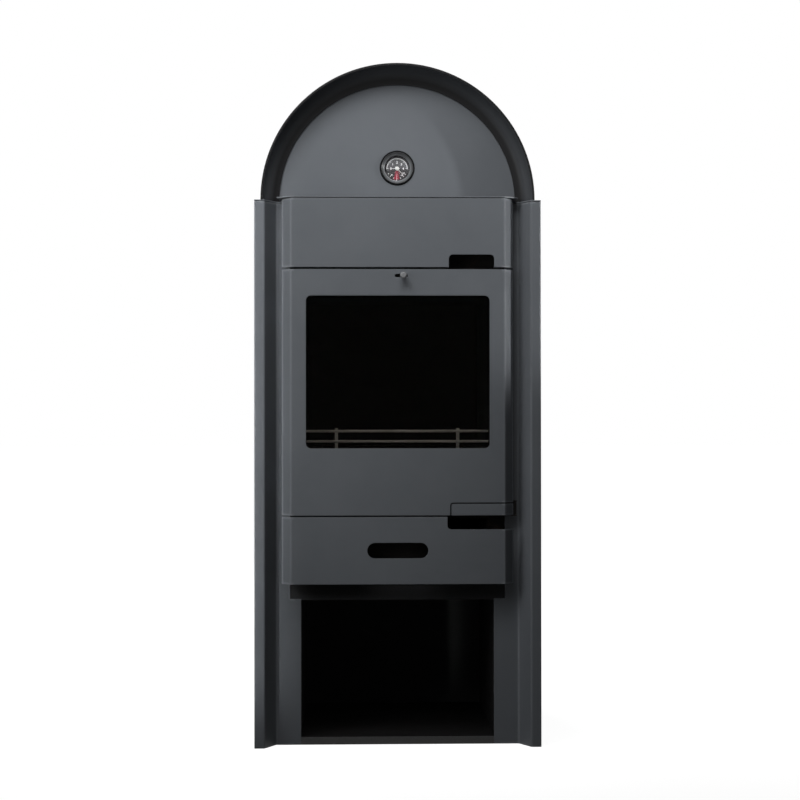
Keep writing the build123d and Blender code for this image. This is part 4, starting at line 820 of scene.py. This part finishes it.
for x in (low.x + catchLook["poleInset"], high.x - catchLook["poleInset"] - poleWidth):
    plate = bmesh.ops.create_cube(poles, size=1)["verts"]
    bmesh.ops.scale(poles, vec=(poleWidth, poleDepth, size.z - catchLook["poleShort"]), verts=plate)
    middle = (x + poleWidth / 2, low.y + poleDepth / 2, (low.z + high.z) / 2)
    bmesh.ops.translate(poles, vec=middle, verts=plate)
bmesh.ops.bevel(poles, geom=poles.edges[:], offset=catchLook["poleRound"], segments=2, profile=0.5,
                affect="EDGES")
meshPiece("magnetPoles", "stove_body", zincSteel, poles, smooth=40)
print("magnetic catch made")

dialLook = {                                    # angles run against the clock from 3 o'clock
    "print": 0.00012, "outerRadius": 0.0206,
    "pale": (0.002, 0.0192, 0, 180, 90),        # bands: inner and outer radius, start, end and steps
    "red": (0.0045, 0.0212, 250, 284, 12),
    "arc": (-2, 182, 92), "arcWidth": 0.0012,           # the arc: start, end and steps
    "ticks": 21, "tickTurn": 9, "longEvery": 5,         # pressure, 0 to 4 in fifths
    "longTick": 0.004, "shortTick": 0.0028, "tickWidth": 0.0006, "longFactor": 1.5,
    "numbers": 5, "numberTurn": 45, "numberRadius": 0.0120, "numberSize": 0.0058, "boldness": 0.04,
    "lowTicks": (211, 229, 250, 290, 309, 325),         # temperature
    "lowTickLength": 0.0024, "lowTickWidth": 0.0011, "lowNumberSize": 0.0032,
    "lowNumbers": (("20", 229, 0.0160), ("100", 306, 0.0158), ("120", 326, 0.0152)),
    "centreLine": (268, 0.009, 0.0236), "centreLineWidth": 0.0007,
    "sideLines": ((241, 0.0045, 0.0095), (297, 0.0045, 0.0115)), "sideLineWidth": 0.0012,
    "capRadius": 0.0039, "capProud": 0.0022, "capSteps": 48,
    "cap": ((0, 0), (1, 0), (1, 0.35), (0.93, 0.66), (0.74, 0.87), (0.4, 1), (0, 1)),
}
dialLow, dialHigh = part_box("gauge_dial")
dialMiddle = Vector((0, dialLow.y, (dialLow.z + dialHigh.z) / 2))


def dialPoint(radius, degrees, lift):
    angle = math.radians(degrees)
    return dialMiddle + Vector((radius * math.cos(angle), -lift, radius * math.sin(angle)))


# a flat raised band on the dial, from one angle to another; the layers of print lie on each other
def printedBand(shape, inner, outer, start, end, steps, layer=1):
    top, bottom = dialLook["print"] * layer, dialLook["print"] * (layer - 1)
    section = ((inner, bottom), (inner, top), (outer, top), (outer, bottom))
    rings = []
    for count in range(steps + 1):
        degrees = start + (end - start) * count / steps
        rings.append([shape.verts.new(dialPoint(radius, degrees, lift)) for radius, lift in section])
    skinRow(shape, rings)


def printedTick(shape, radius, length, width, degrees, layer=2):
    half = math.degrees(width / 2 / radius)
    printedBand(shape, radius - length, radius, degrees - half, degrees + half, 1, layer)


pale = bmesh.new()
printedBand(pale, *dialLook["pale"])
meshPiece("dialPaleHalf", "stove_body", dialPale, pale, smooth=0)

scale = bmesh.new()
outerRadius = dialLook["outerRadius"]
printedBand(scale, outerRadius - dialLook["arcWidth"], outerRadius, *dialLook["arc"])
for step in range(dialLook["ticks"]):
    long = step % dialLook["longEvery"] == 0
    length = dialLook["longTick" if long else "shortTick"]
    width = dialLook["tickWidth"] * (dialLook["longFactor"] if long else 1)
    printedTick(scale, outerRadius, length, width, 180 - step * dialLook["tickTurn"])
for degrees in dialLook["lowTicks"]:
    printedTick(scale, outerRadius, dialLook["lowTickLength"], dialLook["lowTickWidth"], degrees)
lineAt, lineInner, lineOuter = dialLook["centreLine"]
printedTick(scale, lineOuter, lineOuter - lineInner, dialLook["centreLineWidth"], lineAt, layer=3)
meshPiece("dialScale", "stove_body", dialWhite, scale, smooth=0)

redZone = bmesh.new()
printedBand(redZone, *dialLook["red"], layer=2)
meshPiece("dialRedZone", "stove_body", dialRed, redZone, smooth=0)
sideLines = bmesh.new()
for degrees, inner, outer in dialLook["sideLines"]:
    printedTick(sideLines, outer, outer - inner, dialLook["sideLineWidth"], degrees)
meshPiece("dialSideLines", "stove_body", dialPink, sideLines, smooth=0)

numbers = []
labels = [(str(n), 180 - dialLook["numberTurn"] * n, dialLook["numberRadius"], dialLook["numberSize"])
          for n in range(dialLook["numbers"])]
labels += [(*label, dialLook["lowNumberSize"]) for label in dialLook["lowNumbers"]]
for text, degrees, radius, size in labels:
    curve = bpy.data.curves.new("number" + text, "FONT")
    curve.body = text
    curve.size = size
    curve.align_x = "CENTER"
    curve.align_y = "CENTER"
    curve.offset = size * dialLook["boldness"]
    curve.extrude = dialLook["print"] / 2
    helper = bpy.data.objects.new("number" + text, curve)
    spot = dialPoint(radius, degrees, dialLook["print"] * 1.5)     # the middle of the second layer
    helper.matrix_world = Matrix.Translation(spot) @ Matrix.Rotation(math.radians(90), 4, "X")
    numbers.append(helper)
    bpy.context.scene.collection.objects.link(helper)
bpy.context.view_layer.update()
digits = bmesh.new()
for helper in numbers:
    data = bpy.data.meshes.new_from_object(helper.evaluated_get(bpy.context.evaluated_depsgraph_get()))
    data.transform(helper.matrix_world)
    digits.from_mesh(data)
    bpy.data.meshes.remove(data)
    bpy.data.objects.remove(helper)
meshPiece("dialNumbers", "stove_body", dialWhite, digits, smooth=0)

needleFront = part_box("pressure_needle")[0].y
capProfile = [(dialLook["capRadius"] * a, dialLook["capProud"] * b) for a, b in dialLook["cap"]]
cap = bmesh.new()
turned(cap, Vector((0, needleFront, dialMiddle.z)), Vector((0, -1, 0)), capProfile, dialLook["capSteps"])
meshPiece("needleCap", "pressure_hand", needleWhite, cap, smooth=40)
print("dial printed")

floorLook = {                                   # a pale floor just below the base, which keeps the shadow
    "size": 60, "drop": 0.0005, "tone": 0.3, "bounceTone": 0.12,
    "nearGlow": 0.93, "farGlow": 1.0, "glowFrom": 1.0, "glowTo": 2.6,
}
floorMesh = bpy.data.meshes.new("studioFloor")
edge = floorLook["size"] / 2
floorCorners = [(-edge, -edge, 0), (edge, -edge, 0), (edge, edge, 0), (-edge, edge, 0)]
floorMesh.from_pydata(floorCorners, [], [(0, 1, 2, 3)])
studioFloor = bpy.data.objects.new("studioFloor", floorMesh)
studioFloor.location.z = -floorLook["drop"]
bpy.context.scene.collection.objects.link(studioFloor)


# 1 for what the camera, a reflection or a glass shows, 0 for light that bounces
def seenDirectly(tree):
    path = tree.nodes.new("ShaderNodeLightPath")
    first = combine(tree, "MAXIMUM", path.outputs["Is Camera Ray"], path.outputs["Is Glossy Ray"])
    return combine(tree, "MAXIMUM", first, path.outputs["Is Transmission Ray"])


floorMaterial = bpy.data.materials.new("paleFloor")
floorMaterial.use_nodes = True
tree = floorMaterial.node_tree
tree.nodes.clear()
output = tree.nodes.new("ShaderNodeOutputMaterial")
shown, bounced = (tree.nodes.new("ShaderNodeBsdfDiffuse") for part in range(2))
shown.inputs["Color"].default_value = (floorLook["tone"],) * 3 + (1,)
bounced.inputs["Color"].default_value = (floorLook["bounceTone"],) * 3 + (1,)
glow = tree.nodes.new("ShaderNodeEmission")
fromObject = tree.nodes.new("ShaderNodeVectorMath")
fromObject.operation = "LENGTH"
tree.links.new(objectPlace(tree), fromObject.inputs[0])
glowing = remap(tree, fromObject.outputs["Value"], floorLook["glowFrom"], floorLook["glowTo"],
                floorLook["nearGlow"], floorLook["farGlow"])
tree.links.new(glowing, glow.inputs["Strength"])
both = tree.nodes.new("ShaderNodeAddShader")
choice = tree.nodes.new("ShaderNodeMixShader")
tree.links.new(shown.outputs[0], both.inputs[0])
tree.links.new(glow.outputs[0], both.inputs[1])
tree.links.new(seenDirectly(tree), choice.inputs[0])
tree.links.new(bounced.outputs[0], choice.inputs[1])
tree.links.new(both.outputs[0], choice.inputs[2])
tree.links.new(choice.outputs[0], output.inputs["Surface"])
floorMesh.materials.append(floorMaterial)
print("floor laid")

studioLook = {
    "world": 0.02,
    "lamps": {               # place, aim, width and height, spread in degrees, power
        "left": ((-0.8, -0.74, 0.9), (0, 0, 0.85), (0.5, 0.5), 180, 2.7),
        "crown": ((0, -0.84, 1.9), (0, -0.24, 1.17), (0.5, 0.5), 66, 1.4),
        "crownLeft": ((-0.5, -0.84, 1.8), (-0.1, -0.24, 1.15), (0.5, 0.5), 60, 1.5),
        "front": ((-0.3, -0.74, 1.35), (-0.15, -0.24, 0.5), (0.5, 0.5), 60, 0.2),
        "leftFoot": ((-0.8, -0.74, 0.9), (-0.2, -0.24, 0.4), (0.5, 0.5), 60, 0.45),
        "leftEdge": ((-0.75, -0.9, 0.68), (-0.32, -0.24, 0.68), (0.05, 1.2), 13, 0.45),
        "grazing": ((1.2, -0.55, 0.98), (0.24, -0.24, 0.96), (0.04, 0.5), 9, 0.16),
        "back": ((-1.2, 2.6, 2.2), (0, 0.1, 0.7), (1.6, 1.6), 180, 40),
        "side": ((2.4, 1.0, 1.6), (0, 0.05, 0.7), (1.2, 1.2), 180, 16),
    },
}
world = bpy.data.worlds.new("studio")
bpy.context.scene.world = world
world.use_nodes = True
tree = world.node_tree
tree.nodes.clear()
output = tree.nodes.new("ShaderNodeOutputWorld")
bounce = tree.nodes.new("ShaderNodeBackground")
bounce.inputs["Strength"].default_value = studioLook["world"]
backdrop = tree.nodes.new("ShaderNodeBackground")
backdrop.inputs["Strength"].default_value = 1
for background in (bounce, backdrop):
    background.inputs["Color"].default_value = (1, 1, 1, 1)
choice = tree.nodes.new("ShaderNodeMixShader")
tree.links.new(seenDirectly(tree), choice.inputs[0])
tree.links.new(bounce.outputs[0], choice.inputs[1])
tree.links.new(backdrop.outputs[0], choice.inputs[2])
tree.links.new(choice.outputs[0], output.inputs["Surface"])

for name, (place, target, size, spread, power) in studioLook["lamps"].items():
    lamp = bpy.data.lights.new(name + "Light", "AREA")
    lamp.shape = "RECTANGLE"
    lamp.size, lamp.size_y = size
    lamp.spread = math.radians(spread)
    lamp.energy = power
    holder = bpy.data.objects.new(name + "Light", lamp)
    holder.location = place
    direction = Vector(target) - Vector(place)
    holder.rotation_euler = direction.to_track_quat("-Z", "Y").to_euler()
    holder.visible_camera = False
    bpy.context.scene.collection.objects.link(holder)
bpy.context.scene.view_settings.view_transform = "Standard"
print("studio lit")

bpy.context.view_layer.update()
